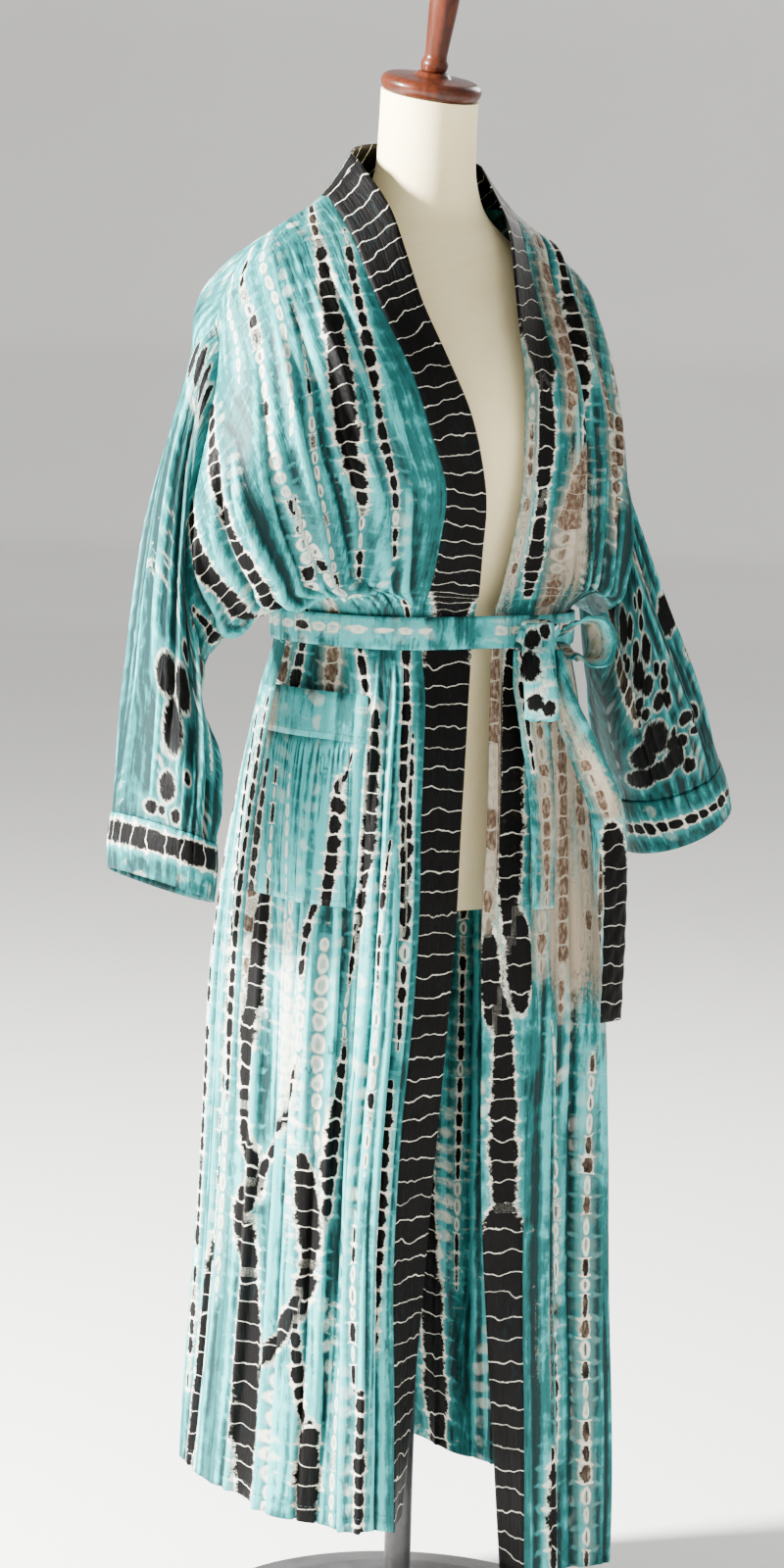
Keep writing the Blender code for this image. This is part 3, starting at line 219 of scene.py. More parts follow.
TAIL_FRONT = (
    (35, -128.5, 1000.7, 0.99, -0.1, 0), (35, -130, 972, 0.98, -0.2, 0), (36, -140, 930, 0.98, -0.1, 0),
    (36, -156, 860, 0.98, 0.15, 0), (33, -166, 800, 0.96, 0.26, 0), (32, -170, 755, 0.95, 0.3, 0),
)
TAIL_SIDE = (
    (58, -135, 1000.7, 0, -1, 0), (64, -140, 965, 0.2, -0.97, 0), (83, -158, 905, 0.5, -0.85, 0.1),
    (103, -170, 850, 0.8, -0.4, 0), (112, -174, 800, 0.93, 0.1, 0), (114, -176, 720, 0.95, 0.26, 0),
    (113, -176, 640, 0.95, 0.3, 0),
)
CARRIER_RADIUS = 0.0011
CARRIER_BOW = 0.0010
CARRIER_HALF = 0.0180

# Dress form: a row for each level
FORM_COLUMNS = ("z", "half_width", "y_front", "y_back", "lean")
FORM = (
    (745, 146, -94, 102), (760, 152, -99, 108), (810, 157, -103, 115), (880, 152, -98, 110),
    (950, 136, -92, 96), (1020, 122, -88, 82), (1090, 124, -95, 80), (1160, 130, -107, 85),
    (1215, 136, -110, 90), (1270, 141, -97, 94), (1320, 143, -74, 96), (1355, 134, -54, 92),
    (1380, 110, -42, 86), (1398, 86, -36, 80, 0.1), (1416, 66, -30, 73, 0.3), (1445, 51, -28, 67, 0.6),
    (1490, 46.5, -28, 64, 0.9), (1530, 46.2, -30, 62, 1),
)
FORM_SQUARE = 0.90
NECK_TILT = math.radians(13.0)

# Turned pieces: radius and height of each step of the profile, top to bottom
TURNED_COLUMNS = ("radius", "height")
NECK_CAP_PROFILE = (
    (0, 22.5), (15, 22.5), (16.5, 20.5), (18, 18), (44, 16.5), (48.5, 13.5), (50, 9), (48.5, 4), (46, 0),
    (0, 0),
)
FINIAL_PROFILE = (
    (0, 122), (6, 121), (11.5, 117), (14.5, 110), (15.5, 100), (15.2, 88), (14, 60), (11.8, 30), (10.8, 14),
    (12.8, 10.5), (13.8, 7), (12.8, 3), (12.5, 0), (0, 0),
)
BASE_PROFILE = (
    (0, 46), (20, 46), (24, 30), (40, 24), (150, 19), (195, 14), (200, 8), (200, 0), (0, 0),
)
POLE_RADIUS = 0.0135


# Dyed rows of each panel. "top" and "low" are the across places where a row starts and ends, "bend" bows it
# between them, "half" is half its inked width, "start" and "end" are lengths down the cloth, "cell" is one
# tied cell's length, "ink" is how dark the cells are and "brown" how far the ink has turned to brown.
ROW_COLUMNS = ("top", "low", "bend", "half", "start", "end", "cell", "ink", "brown")
ROWS_FRONT_RIGHT = (
    (892, 960, 13, 9.2, 740, 979, 20), (344, 378, -25, 8.5, 580, 800, 19),
    (124, 73, 33, 5.2, 470, 800, 19, 1, 0.1), (497, 385, 7, 6, 500, 580, 19),
    (654, 624, 4, 9, 490, 600, 19, 0.9, 0.6), (847, 854, 25, 6, 490, 620, 19, 1, 0.2),
    (980, 970, 0, 6, 500, 900, 19, 0.6, 0.5), (957, 869, 15, 10.5, 979, 1060, 21),
    (947, 890, 12, 12, 1060, 1141, 21), (890, 826, 0, 12.5, 1141, 1400, 21),
    (562, 634, 21, 4.8, 750, 843, 19, 0.9), (633, 629, -8, 6, 843, 926, 19, 0),
    (640, 794, -18, 8, 931, 1009, 19), (799, 930, 23, 10, 1009, 1090, 20),
    (385, 419, -3, 4.4, 780, 847, 19, 0.9), (419, 429, 12, 5, 847, 894, 19, 0.1),
    (426, 480, 13, 8, 903, 1068, 19, 1, 0.1), (200, 231, 19, 3, 700, 843, 18, 0.8),
    (231, 230, -8, 4, 843, 1018, 19, 0.2), (589, 537, -14, 12.5, 1010, 1123, 20),
    (536, 560, 0, 12.5, 1100, 1160, 21), (560, 830, -30, 11.5, 1140, 1240, 21),
    (590, 530, 10, 6, 1150, 1275, 19, 0.9), (505, 495, 0, 13, 1270, 1400, 21),
    (270, 250, 5, 3.4, 1060, 1230, 19, 0.3), (220, 205, 0, 6, 1225, 1400, 19),
    (90, 110, 0, 5.5, 930, 1200, 19), (80, 75, 0, 3.4, 600, 900, 19, 0.6), (780, 770, 10, 6, 780, 900, 21, 0),
    (740, 720, 0, 5, 760, 990, 19, 0), (540, 530, 10, 6, 800, 1000, 19, 0),
    (700, 700, 0, 6, 1210, 1380, 19, 0), (360, 360, 10, 4, 1210, 1380, 19, 0.05),
    (100, 174, 29, 4.4, -50, 75, 18, 1, 0.3), (176, 240, 58, 8.8, 60, 333, 18),
    (240, 230, 10, 4, 333, 440, 18, 0.5), (25, 140, 61, 4, 46, 388, 18, 0.85),
    (393, 314, 27, 2.8, 142, 460, 18, 0.2, 0.2), (700, 338, 68, 4.2, -50, 430, 19, 0.35, 0.1),
    (560, 476, -30, 3, -50, 242, 19, 0), (470, 400, 0, 5, 300, 480, 19, 0.25, 0.1),
    (1000, 543, -50, 7.5, 136, 480, 20, 0.95, 0.1), (1010, 640, -10, 9, 230, 480, 20, 1, 0.1),
    (980, 800, 0, 8, 350, 480, 20, 1, 0.1), (860, 740, 0, 3, -20, 160, 19, 0.05, 0.1),
)
ROWS_FRONT_LEFT = (
    (303, 185, 45, 6.5, 0, 260, 18, 0.9, 0.2), (186, 57, -15, 12.5, 270, 420, 19, 0.45, 0.9),
    (92, 59, 70, 7, 0, 250, 19, 0.6, 0.8), (520, 460, 0, 5, 40, 360, 18, 0.75, 0.6),
    (720, 600, 10, 4, 20, 300, 19, 0.5, 0.5), (60, 40, 20, 8, 400, 820, 20, 0.75, 0.85),
    (180, 170, 10, 7, 540, 860, 19, 0.7, 0.9), (300, 300, 0, 6, 540, 800, 19, 0.5, 0.9),
    (400, 380, 0, 5, 540, 900, 20, 0.25, 0.8), (620, 580, 0, 4, 540, 980, 19, 0.35, 0.6),
    (91, 182, 31, 3.6, 864, 1120, 19, 0.6, 0.2), (160, 150, 10, 6, 1150, 1300, 19),
    (110, 120, 0, 9, 1260, 1420, 20), (300, 280, -10, 3.6, 900, 1420, 19, 0.4, 0.4),
    (520, 500, -10, 4, 960, 1420, 19, 0.75, 0.4), (800, 780, 0, 5, 600, 1100, 19, 0.6, 0.2),
    (780, 840, 0, 9.5, 1080, 1420, 21), (930, 930, 0, 3.4, 600, 1420, 19, 0.1),
)
ROWS_BACK = (
    (-955, -950, 0, 4, 580, 980, 18), (-950, -955, 0, 3.4, 980, 1180, 20, 0.05, 0.3),
    (-900, -890, 5, 3.2, 580, 1400, 19, 0.2), (-820, -800, 5, 7, 600, 1100, 20),
    (-800, -740, 0, 10.5, 1100, 1400, 21), (-660, -680, 10, 3.6, 600, 1300, 19, 0.65),
    (-520, -540, 0, 8.5, 620, 950, 20), (-540, -420, -10, 10.5, 950, 1180, 21),
    (-420, -400, 0, 12, 1180, 1400, 21), (-330, -410, 10, 9.5, 980, 1170, 21),
    (-300, -330, 0, 3.6, 580, 980, 18, 0.8), (-200, -180, 10, 3.2, 600, 1400, 19, 0.15),
    (-60, -40, 5, 6, 560, 1100, 20), (-40, 20, 0, 11, 1100, 1400, 21), (100, 90, 8, 3.6, 600, 1300, 19, 0.6),
    (240, 260, 0, 3.2, 580, 1400, 19, 0.1), (380, 360, 8, 8.5, 600, 1050, 20),
    (360, 440, 0, 11.5, 1050, 1400, 21), (520, 500, 0, 3.4, 600, 1200, 18, 0.7),
    (660, 680, 6, 3.6, 580, 1400, 19, 0.2), (790, 780, 0, 7, 600, 1400, 20, 1, 0.1),
    (910, 920, 0, 3.4, 580, 1400, 19, 0.6), (-900, -620, 20, 7, 160, 490, 20, 1, 0.35),
    (-700, -460, 20, 5, 20, 490, 20, 0.9, 0.1), (-520, -300, 15, 3.6, 10, 490, 19, 0.4),
    (-280, -160, 10, 7, 20, 490, 20), (-100, -50, 0, 3.4, 20, 490, 19, 0.3),
    (80, 60, 0, 4.4, 20, 490, 20, 0.85), (260, 180, 0, 8, 20, 490, 20),
    (440, 330, 10, 3.6, 10, 490, 19, 0.45), (640, 480, 10, 6, 20, 490, 20, 0.95, 0.15),
    (840, 640, 10, 4, 100, 490, 19, 0.7, 0.2),
)
ROWS_BAND_RIGHT = (
    (540, 540, 0, 31, -300, 500, 16.8), (500, 500, 0, 36, 500, 1600, 19.5),
    (50, 30, 0, 4.2, -60, 250, 16.8, 0.3, 0.5),
)
ROWS_BAND_LEFT = (
    (500, 420, 0, 33, -300, 200, 18), (481, 376, -35, 11, 170, 331, 20), (369, 269, -19, 10, 310, 460, 20),
    (860, 800, 0, 3.4, 80, 440, 18, 0.3, 0.6), (520, 450, -15, 13, 520, 790, 19, 1, 0.15),
    (900, 900, 0, 7, 500, 780, 19, 0.6, 0.95), (250, 220, 0, 18, 770, 850, 24),
    (850, 800, 0, 15, 780, 860, 24), (600, 448, -2, 13, 840, 1060, 19), (500, 500, 0, 34, 1040, 1600, 20),
)
ROWS_BAND_NECK = (
    (500, 500, 0, 45, -1000, 1500, 19),
)
ROWS_SLEEVE_RIGHT = (
    (100, 140, 0, 5, 0, 60, 18, 0), (-400, -360, 30, 5, 50, 600, 20, 0.8, 0.1),
    (-620, -580, 20, 8.5, 60, 950, 21, 1, 0.15), (-860, -820, 0, 5, 100, 950, 20, 0.3),
    (840, 780, 10, 9, 0, 400, 21, 1, 0.45), (930, 900, 0, 10, 0, 700, 21, 0.9, 0.4),
    (740, 700, 0, 8, 0, 240, 20, 0.85, 0.35), (640, 600, 0, 2.6, 480, 740, 12, 0),
)
ROWS_SLEEVE_LEFT = (
    (300, 160, 10, 4.8, 0, 340, 19, 0.9, 0.3), (520, 380, 10, 4, 0, 400, 19, 0.6, 0.5),
    (-300, -260, 20, 8, 40, 960, 21, 1, 0.1), (-600, -580, 20, 4.6, 40, 960, 20, 0.6, 0.1),
    (860, 840, 0, 7, 40, 600, 21, 0.9, 0.4),
)
ROWS_POCKET_RIGHT = (
    (520, 565, -11, 8, 650, 800, 18, 1, 0.1), (450, 515, 0, 3, 618, 660, 18), (945, 960, 9, 4, 640, 800, 18),
    (880, 890, -8, 2.6, 640, 800, 18, 0.2), (780, 742, -2, 2.2, 650, 800, 18, 0),
)
ROWS_POCKET_LEFT = (
    (600, 620, 0, 6, 700, 990, 19, 0.9, 0.5), (760, 740, 0, 8, 720, 990, 20, 1, 0.1),
    (900, 920, 0, 7, 720, 990, 20),
)
ROWS_BELT = (
    (420, 420, 0, 4, 50, 340, 22, 0.25, 0.3), (550, 550, 0, 7, 400, 600, 22, 1, 0.1),
    (450, 450, 0, 4, 660, 950, 22, 0.3, 0.3),
)

# Single dark spots: across and length down, half width, half length, ink and brown
SPOT_COLUMNS = ("across", "down", "half", "length", "ink", "brown")
SPOTS_SLEEVE_RIGHT = (
    (0, 70, 11, 15), (85, 64, 12, 16), (170, 56, 12, 16, 1, 0.1), (255, 45, 10, 14, 1, 0.1),
    (165, 606, 16, 26), (305, 598, 17, 28), (235, 716, 18, 40), (345, 495, 6, 8), (222, 886, 10, 18),
    (130, 960, 6, 8), (300, 965, 5, 8), (360, 830, 4, 7), (200, 960, 4, 6), (-420, 420, 12, 26),
    (-470, 430, 10, 22), (-440, 810, 10, 18),
)
SPOTS_SLEEVE_LEFT = (
    (872, 60, 10, 12), (860, 140, 9, 12), (746, 214, 13, 16), (800, 290, 10, 13, 1, 0.1), (582, 290, 14, 18),
    (620, 420, 9, 11), (740, 430, 10, 12), (600, 620, 10, 14), (760, 700, 14, 16), (860, 760, 11, 13),
    (680, 830, 15, 13), (790, 860, 14, 12), (900, 880, 12, 12, 1, 0.1), (600, 900, 9, 9), (300, 500, 12, 16),
    (220, 620, 10, 14), (380, 760, 11, 14),
)

# Tied flowers on the left sleeve: middle across and down, petals, their ring's radius, half width and turn
FLOWERS_SLEEVE_LEFT = (
    (665, 320, 7, 21, 12.5, 0.4), (685, 545, 8, 22, 11.5, 0.9), (560, 760, 6, 17, 9, 0.2),
)
SPOTS_LOOP = (
    (200, 18, 9, 13), (220, 46, 9, 11), (620, 8, 7, 7), (300, 78, 11, 10), (720, 84, 9, 9),
)

# Ground of each panel: place, reach across (share) and down (metres), then how far it turns light, white or
# to the brownish cream of a bleached patch. Negative light is deep teal.
GROUND_COLUMNS = ("across", "down", "wide", "long", "light", "white", "cream")
GROUND_FRONT_RIGHT = (
    (720, 860, 140, 100, 0.6, 0.55), (660, 950, 100, 90, 0.5, 0.6), (620, 1070, 80, 50, 0.4, 0.55, 0.1),
    (420, 1180, 100, 50, 0.5, 0.4, 0.1), (860, 1220, 80, 80, 0.5, 0.5, 0.05),
    (680, 1300, 120, 70, 0.5, 0.4, 0.05), (150, 1250, 120, 60, 0.7, 0.35), (300, 580, 120, 60, -0.8),
    (850, 560, 150, 60, -0.9), (280, 900, 100, 150, 0.4, 0.15), (500, 300, 400, 200, -0.3),
    (500, 980, 50, 140, -0.9), (300, 20, 250, 40, -0.5, 0, 0.1), (920, 400, 100, 70, 0.1, 0.3, 0.35),
    (300, 400, 120, 100, -0.5), (100, 660, 60, 50, 0.2, 0.3, 0.2), (850, 50, 120, 80, 0.2, 0.3, 0.1),
)
GROUND_FRONT_LEFT = (
    (600, 1150, 900, 500, -0.55), (600, 200, 600, 400, -0.45), (200, 620, 300, 140, 0.1, 0.25, 0.85),
    (240, 800, 240, 70, 0.2, 0.3, 0.75), (150, 360, 120, 90, 0, 0.25, 0.8),
    (100, 140, 140, 100, -0.2, 0.1, 0.55), (600, 300, 300, 200, -0.6), (400, 1100, 400, 150, -0.5),
    (120, 1150, 80, 120, 0.1, 0.2, 0.4), (600, 1300, 300, 120, -0.5, 0, 0.1), (400, 920, 200, 40, 0.8, 0.2),
    (350, 280, 50, 200, -0.9),
)
GROUND_BACK = (
    (-500, 900, 160, 120, 0.7, 0.55), (-200, 1150, 140, 100, 0.6, 0.5), (100, 800, 140, 140, 0.5, 0.45),
    (450, 1100, 140, 120, 0.7, 0.55, 0.05), (700, 800, 120, 140, 0.4, 0.3), (-800, 1250, 100, 100, 0.5, 0.4),
    (-200, 200, 200, 120, 0.3, 0.25), (350, 300, 200, 120, 0.4, 0.25), (0, 450, 500, 50, -0.4),
    (-960, 1200, 50, 120, -0.2),
)
GROUND_BAND_RIGHT = (
    (200, 100, 300, 50, 0.3, 0.2, 0.1), (300, 930, 300, 70, 0.4, 0.4, 0.3), (900, 250, 200, 200, 0.3, 0.2),
)
GROUND_BAND_LEFT = (
    (850, 360, 300, 140, 0.2, 0.35, 0.75), (700, 680, 500, 150, 0, 0.5, 0.95),
    (600, 960, 600, 80, 0.3, 0.3, 0.1), (200, 1300, 300, 150, 0, 0.1, 0.2),
)
GROUND_SLEEVE_RIGHT = (
    (0, 600, 1000, 700, -0.65), (120, 350, 80, 120, 0.3, 0.3), (100, 20, 200, 40, 0.3, 0.45, 0.1),
    (140, 110, 140, 20, 0.3, 0.6), (200, 300, 300, 140, -0.7), (0, 420, 120, 30, 0.3, 0.4),
    (450, 600, 200, 160, -0.9), (600, 800, 200, 150, -1), (850, 120, 160, 200, 0, 0.5, 0.4),
    (200, 980, 500, 30, -0.6, 0.1), (-100, 750, 200, 200, -0.3),
)
GROUND_SLEEVE_LEFT = (
    (600, 600, 800, 800, -0.45), (600, 50, 200, 100, -0.2, 0.2, 0.5), (600, 160, 300, 60, 0.2, 0.1),
    (720, 420, 300, 300, -1, 0, 0.15), (760, 800, 300, 120, -0.9, 0, 0.2), (0, 600, 400, 300, -0.4),
)
GROUND_POCKET_RIGHT = (
    (700, 740, 160, 80, 0.5, 0.1), (960, 600, 60, 40, 0.3, 0.55, 0.8), (700, 600, 300, 30, 0.7, 0.1, 0.05),
    (420, 590, 40, 20, 0.8, 0.6), (500, 650, 100, 30, -0.5), (800, 790, 200, 20, -0.5),
)
GROUND_POCKET_LEFT = (
    (700, 750, 300, 30, 0.2, 0.3, 0.85), (700, 900, 300, 80, 0.1, 0.2, 0.3),
)
GROUND_BELT = (
    (400, 200, 600, 100, 0.5, 0.25, 0.05), (600, 500, 600, 200, 0.2, 0.1),
    (300, 800, 600, 100, 0.4, 0.2, 0.2),
)
GROUND_PALE = (
    (500, 60, 600, 50, 0.9, 0.6), (500, 180, 600, 50, 0.3, 0.1, 0.2),
)
GROUND_STREAK = (
    (300, 50, 400, 60, 0, 0.2, 0.7), (600, 160, 400, 60, 0.1, 0.2, 0.9), (400, 280, 400, 60, 0, 0.1, 0.6),
)


# Creases laid over each panel's folds: where across, depth (outward is positive), half width across, the
# cloth lengths where one starts and ends, and its drift across on the way
CREASES_RIGHT = (
    (50, 2.2, 20, 540, 1200, 10), (110, -3, 26, 560, 1550, -10), (160, 2, 18, 700, 1300, 15),
    (260, -3.4, 28, 530, 1100, 20), (310, 2.4, 20, 800, 1600, -20), (370, -2.4, 18, 550, 980),
    (500, 3.4, 26, 540, 1350, -15), (540, -3, 18, 900, 1600, 10), (580, 2.2, 16, 600, 1050, 10),
    (690, -3.6, 24, 540, 1500, 10), (740, 2.6, 18, 850, 1600, -10), (800, -2.2, 18, 560, 1150),
    (910, 3, 22, 600, 1600), (950, -2, 16, 800, 1600), (210, 2.6, 16, 1050, 1600, 10),
    (450, -2.4, 16, 1100, 1600), (860, -4, 36, 180, 540, -300), (740, 4, 40, 200, 540, -300),
    (660, -3.4, 30, 100, 540, -300), (540, 3.6, 36, 80, 540, -260), (440, -3.6, 32, 60, 540, -240),
    (320, 2.8, 30, 50, 500, -200), (200, -2.6, 30, 40, 460, -140), (930, 3.4, 28, 260, 520, -160),
    (600, -2.4, 22, 360, 540, -60), (400, 2.6, 22, 380, 540, -40), (240, -2.4, 20, 380, 540, -20),
    (780, -2.4, 22, 380, 540, -80), (150, -2.2, 16, 500, 660, 10), (220, 2.4, 16, 500, 740, 10),
    (340, 2.2, 14, 500, 700), (420, -2.8, 18, 490, 780, -10), (600, 2.6, 16, 500, 680, -10),
    (640, -2.4, 14, 500, 640), (300, -4.4, 44, 160, 500, -100), (120, 3.4, 30, 240, 520, -40),
    (520, -3, 14, 400, 530, -60), (470, 3, 14, 420, 530, -40), (350, -2.8, 12, 430, 530, -20),
    (160, -2.6, 14, 420, 530, -10), (680, 3, 16, 420, 530, -80),
)
CREASES_LEFT = (
    (25, -4.6, 30, 720, 1600, 15), (125, 5.6, 70, 700, 1600, 20), (245, -6, 50, 660, 1600, -10),
    (360, 4.4, 70, 740, 1600, 20), (520, -4, 50, 800, 1600, 10), (50, -3, 22, 560, 1600, 10),
    (90, 2.8, 20, 800, 1600), (220, -3.4, 24, 540, 1300, 20), (270, 2.6, 18, 900, 1600, -10),
    (410, -3.4, 24, 540, 1600, 10), (470, 2.8, 20, 540, 1100), (620, -3, 24, 600, 1600),
    (680, 2.8, 20, 540, 1250, 10), (740, -2.6, 18, 900, 1600), (860, 3.2, 22, 540, 1600, -10),
    (930, -2.6, 18, 600, 1400), (350, -2.2, 16, 1050, 1600, 10), (200, -5, 40, -20, 420, 60),
    (300, 4, 34, -20, 460, 40), (100, 2.6, 26, 60, 480, 40), (400, -4, 34, -20, 520, -40),
    (520, 3.4, 32, 100, 540, -120), (660, -3.4, 32, 120, 540, -180), (800, 3, 30, 180, 540, -240),
    (900, -3, 28, 240, 540, -260), (300, -2.4, 20, 360, 540), (500, -2.4, 20, 380, 540, -20),
)
CREASES_BACK = (
    (-940, 2.8, 14, 560, 1600), (-900, -2.6, 12, 560, 1200, 4), (-760, 3, 14, 600, 1600, 4),
    (-700, -3.2, 14, 540, 1500), (-560, 2.6, 12, 800, 1600, 6), (-490, -3, 14, 540, 1200),
    (-350, 2.8, 13, 540, 1600, -4), (-290, -3, 13, 700, 1600), (-220, 2.4, 12, 540, 1100),
    (-90, -3, 14, 540, 1600, 4), (-20, 2.8, 13, 800, 1600), (130, 2.6, 13, 540, 1400, 4),
    (200, -3.2, 14, 560, 1600), (340, 2.8, 13, 540, 1200, 4), (420, -2.4, 12, 900, 1600),
    (570, 3, 14, 540, 1600, -4), (640, -3, 13, 600, 1600), (810, 2.8, 13, 540, 1300),
    (880, -2.8, 13, 540, 1600), (950, 2.2, 10, 700, 1600), (-800, -3.4, 26, 140, 540, 140),
    (-640, 3.4, 26, 100, 540, 120), (-440, -3, 24, 60, 540, 80), (-240, 2.8, 22, 100, 540, 40),
    (-60, -2.6, 22, 80, 540, 10), (120, 2.8, 22, 120, 540, -20), (280, -3.2, 24, 60, 540, -60),
    (500, 3.4, 26, 80, 540, -100), (720, -3.4, 26, 120, 540, -140), (-360, -2, 14, 400, 540, 10),
    (20, 2, 14, 400, 540), (400, -2, 14, 400, 540, -10),
)
CREASES_SLEEVE_RIGHT = (
    (60, 4, 50, 20, 700, 30), (180, -4.6, 50, 20, 900, 40), (280, 4, 40, 100, 980, 20),
    (380, -3.4, 40, 240, 1000), (480, 3.4, 40, 200, 960, -20), (580, -4.6, 50, 300, 1100, -30),
    (700, 3.4, 40, 400, 1100, -20), (800, -3.4, 40, 440, 1000), (-80, -3.4, 40, 60, 960, -20),
    (-200, 4, 50, 20, 980), (-340, -4.4, 50, 60, 1000, 20), (-480, 3.6, 40, 100, 1100),
    (-620, -3.6, 40, 80, 1000, 20), (-760, 3.4, 40, 200, 1100), (-900, -2.6, 30, 400, 1100),
    (330, 2, 20, 620, 1100, 20), (430, -2, 20, 700, 1100, 10), (120, 2.2, 20, 500, 1050, 10),
)
CREASES_SLEEVE_LEFT = (
    (40, 3.4, 50, 20, 800, 20), (140, -4.4, 50, 20, 1000, 30), (260, 4, 40, 60, 980, 20),
    (360, -4, 40, 100, 900, 20), (480, 3.6, 40, 100, 1100), (600, -3.6, 40, 200, 1100),
    (740, 3, 40, 400, 1100), (860, -2.6, 30, 400, 1000), (-80, -3.4, 40, 40, 980), (-220, 4, 50, 60, 1000),
    (-380, -4, 50, 60, 1000, 20), (-540, 3.4, 40, 100, 1100), (-700, -3.4, 40, 100, 1000),
    (-860, 2.8, 30, 300, 1100),
)


# Fine grids: cells across each piece and the cell's length down the cloth
FRONT_FINE = 132
BACK_FINE = 256
BAND_FINE = 10
NECK_FINE = 72
RING_FINE = 192
SLEEVE_FINE = 150
CUFF_FINE = 16
POCKET_FINE = 64
BELT_FINE = 80
BELT_ROWS = 8
STRIP_FINE = 96
STRIP_COLUMNS_FINE = 12
KNOT_AROUND = 72
KNOT_UP = 40
CARRIER_FINE = 28
DOWN_CELL = 0.0090

# Walls and small forms of the fine sheets
BAND_THICKNESS = 0.0020
CUFF_THICKNESS = 0.0020
BAND_CROWN = 0.0009
BAND_RIPPLE = 0.0007
HEM_WAVE = 0.0025
SLEEVE_HOLD = 0.05
SLEEVE_LENGTH = 0.50
SLEEVE_CAP = 0.20
ROW_TAPER = 0.09
CREASE_TIGHT = 0.60
RIGHT_DEEPER = 1.7
SPOT_HALO = 0.55
SPOT_GAP = 0.0026
FLOWER_WIDE = 1.45
FLOWER_LOW = 0.85
# Painted fold shade: the ground is darkened in fold valleys and lightened on fold ridges, as shade and light would
# fall
FOLD_NEAR = 4
FOLD_WIDE = 14
FOLD_PROUD = 0.0008
FOLD_PAINTED_SHADE = 1.15
FOLD_COLUMNS_LEAST = 40
POCKET_CALM = 0.80
SLEEVE_HALF_GIRTH = 0.22
ROW_TIP = 0.40
ROW_APART = 17.37
CUFF_LENGTH = 0.055
CUFF_FLARE = 0.0020
NECK_BAND_HEIGHT = 0.062
POCKET_LIFT = 0.0034
POCKET_BAND_LIFT = 0.0012
POCKET_SIDE_TRIM = 0.02
GATHERS = 11
GATHER_DEPTH = 0.0034
GATHER_LENGTH = 0.045
BELT_WRINKLE = 0.0004
BELT_CROWN = 0.0008
STRIP_CREASE = -0.0012
KNOT_SQUARE = 0.62
KNOT_WRAP = 0.0012
POLE_MERGE = 0.00002

# Rows that run round the cuffs: how far down the cuff, half width, cell length, ink and brown
CUFF_ROWS_RIGHT = (
    (18, 9.5, 19, 1, 0),
)
CUFF_ROWS_LEFT = (
    (30, 5, 14, 1, 0),
)
GROUND_CUFF = (
    (50, 100, 20, 200, -0.5), (20, 400, 30, 100, -0.3, 0.1, 0.1),
)
ROWS_KNOT = (
    (600, 900, 0, 6, 0, 80, 18), (800, 800, 0, 5, 0, 80, 16, 1, 0.2),
)
ROWS_LOOP_SIDE = (
    (550, 500, 0, 5, 75, 190, 17, 0.8, 0.8),
)
ROWS_TAIL_FRONT = (
    (620, 580, 0, 4.4, 20, 270, 18, 0.55, 0.9), (220, 250, 0, 3, 0, 120, 18),
)
ROWS_TAIL_SIDE = (
    (400, 450, 0, 6, 100, 170, 18, 0.5, 0.9), (500, 500, 0, 21, 185, 420, 19),
)
BELT_STRIPS = (
    ("bow_loop_front", LOOP_FRONT, (), SPOTS_LOOP, GROUND_PALE, "belt", 0.0030),
    ("bow_loop_side", LOOP_SIDE, ROWS_LOOP_SIDE, (), GROUND_STREAK, "belt", 0.0020),
    ("belt_tail_front", TAIL_FRONT, ROWS_TAIL_FRONT, (), GROUND_STREAK, "belt", 0.0020),
    ("belt_tail_side", TAIL_SIDE, ROWS_TAIL_SIDE, (), GROUND_STREAK, "belt", 0.0020),
)

# Dress form and stand on finer grids
FORM_FINE_SIDES = 96
FORM_FINE_ROWS = 130
TURNED_FINE = 96
PROFILE_CELL = 0.0012

# Stitching: one row of thread for each seam
STITCH_LONG = 0.0030
STITCH_GAP = 0.0013
STITCH_WIDE = 0.0005
STITCH_LIFT = 0.0003
CLOTH_LIFT = 0.0008
HEM_STITCH = 0.016
THREAD_TEAL = (0.045, 0.190, 0.200, 1.0)
THREAD_DARK = (0.030, 0.040, 0.040, 1.0)

# Camera of the photograph: azimuth, distance, heights, sideways shift, turn and field of view
CAMERA_AZIMUTH = math.radians(-34.0)
CAMERA_DISTANCE = 3.8
CAMERA_HEIGHT = 1.30
CAMERA_AIM = 0.857
CAMERA_SHIFT = -0.027
CAMERA_TURN = math.radians(1.6)
CAMERA_FIELD = math.radians(22.9)
CAMERA_SENSOR = 36.0

# Floor that rises far away into an all-round backdrop: radius and height of its profile
FLOOR_PROFILE = (
    (0, 0), (4, 0), (13, 0), (15, 0.25), (16.6, 1.2), (17.5, 3), (17.8, 8),
)

# Colour of the painted shade along the crinkle's thin crease lines, how far painted highlight on a crest lightens
# the ground, and each tint's own shift of light, white and cream
CREASE_PAINTED_SHADE = (0.002, 0.010, 0.012, 1.0)
CREST_PAINTED_HIGHLIGHT = (0.60, 0.0, 0.0)
GROUND_LIFT = {
    "body": (-0.40, 0.0, 0.0), "band": (-0.30, 0.0, 0.05), "cuff": (-0.60, 0.0, 0.0),
    "pale": (0.25, 0.0, 0.0), "pocket": (0.05, 0.0, 0.0), "belt": (-0.05, 0.0, 0.05),
}
# Knitted cover, turned wood and painted metal
JERSEY_LIGHT = (0.97, 0.85, 0.50, 1.0)
JERSEY_SHADE = (0.93, 0.79, 0.43, 1.0)
JERSEY_DEEP = (0.78, 0.62, 0.34, 1.0)
MAHOGANY = (0.075, 0.016, 0.006, 1.0)
MAHOGANY_DARK = (0.030, 0.007, 0.003, 1.0)
BLACK_PAINT = (0.020, 0.020, 0.022, 1.0)
BLACK_WORN = (0.045, 0.044, 0.046, 1.0)

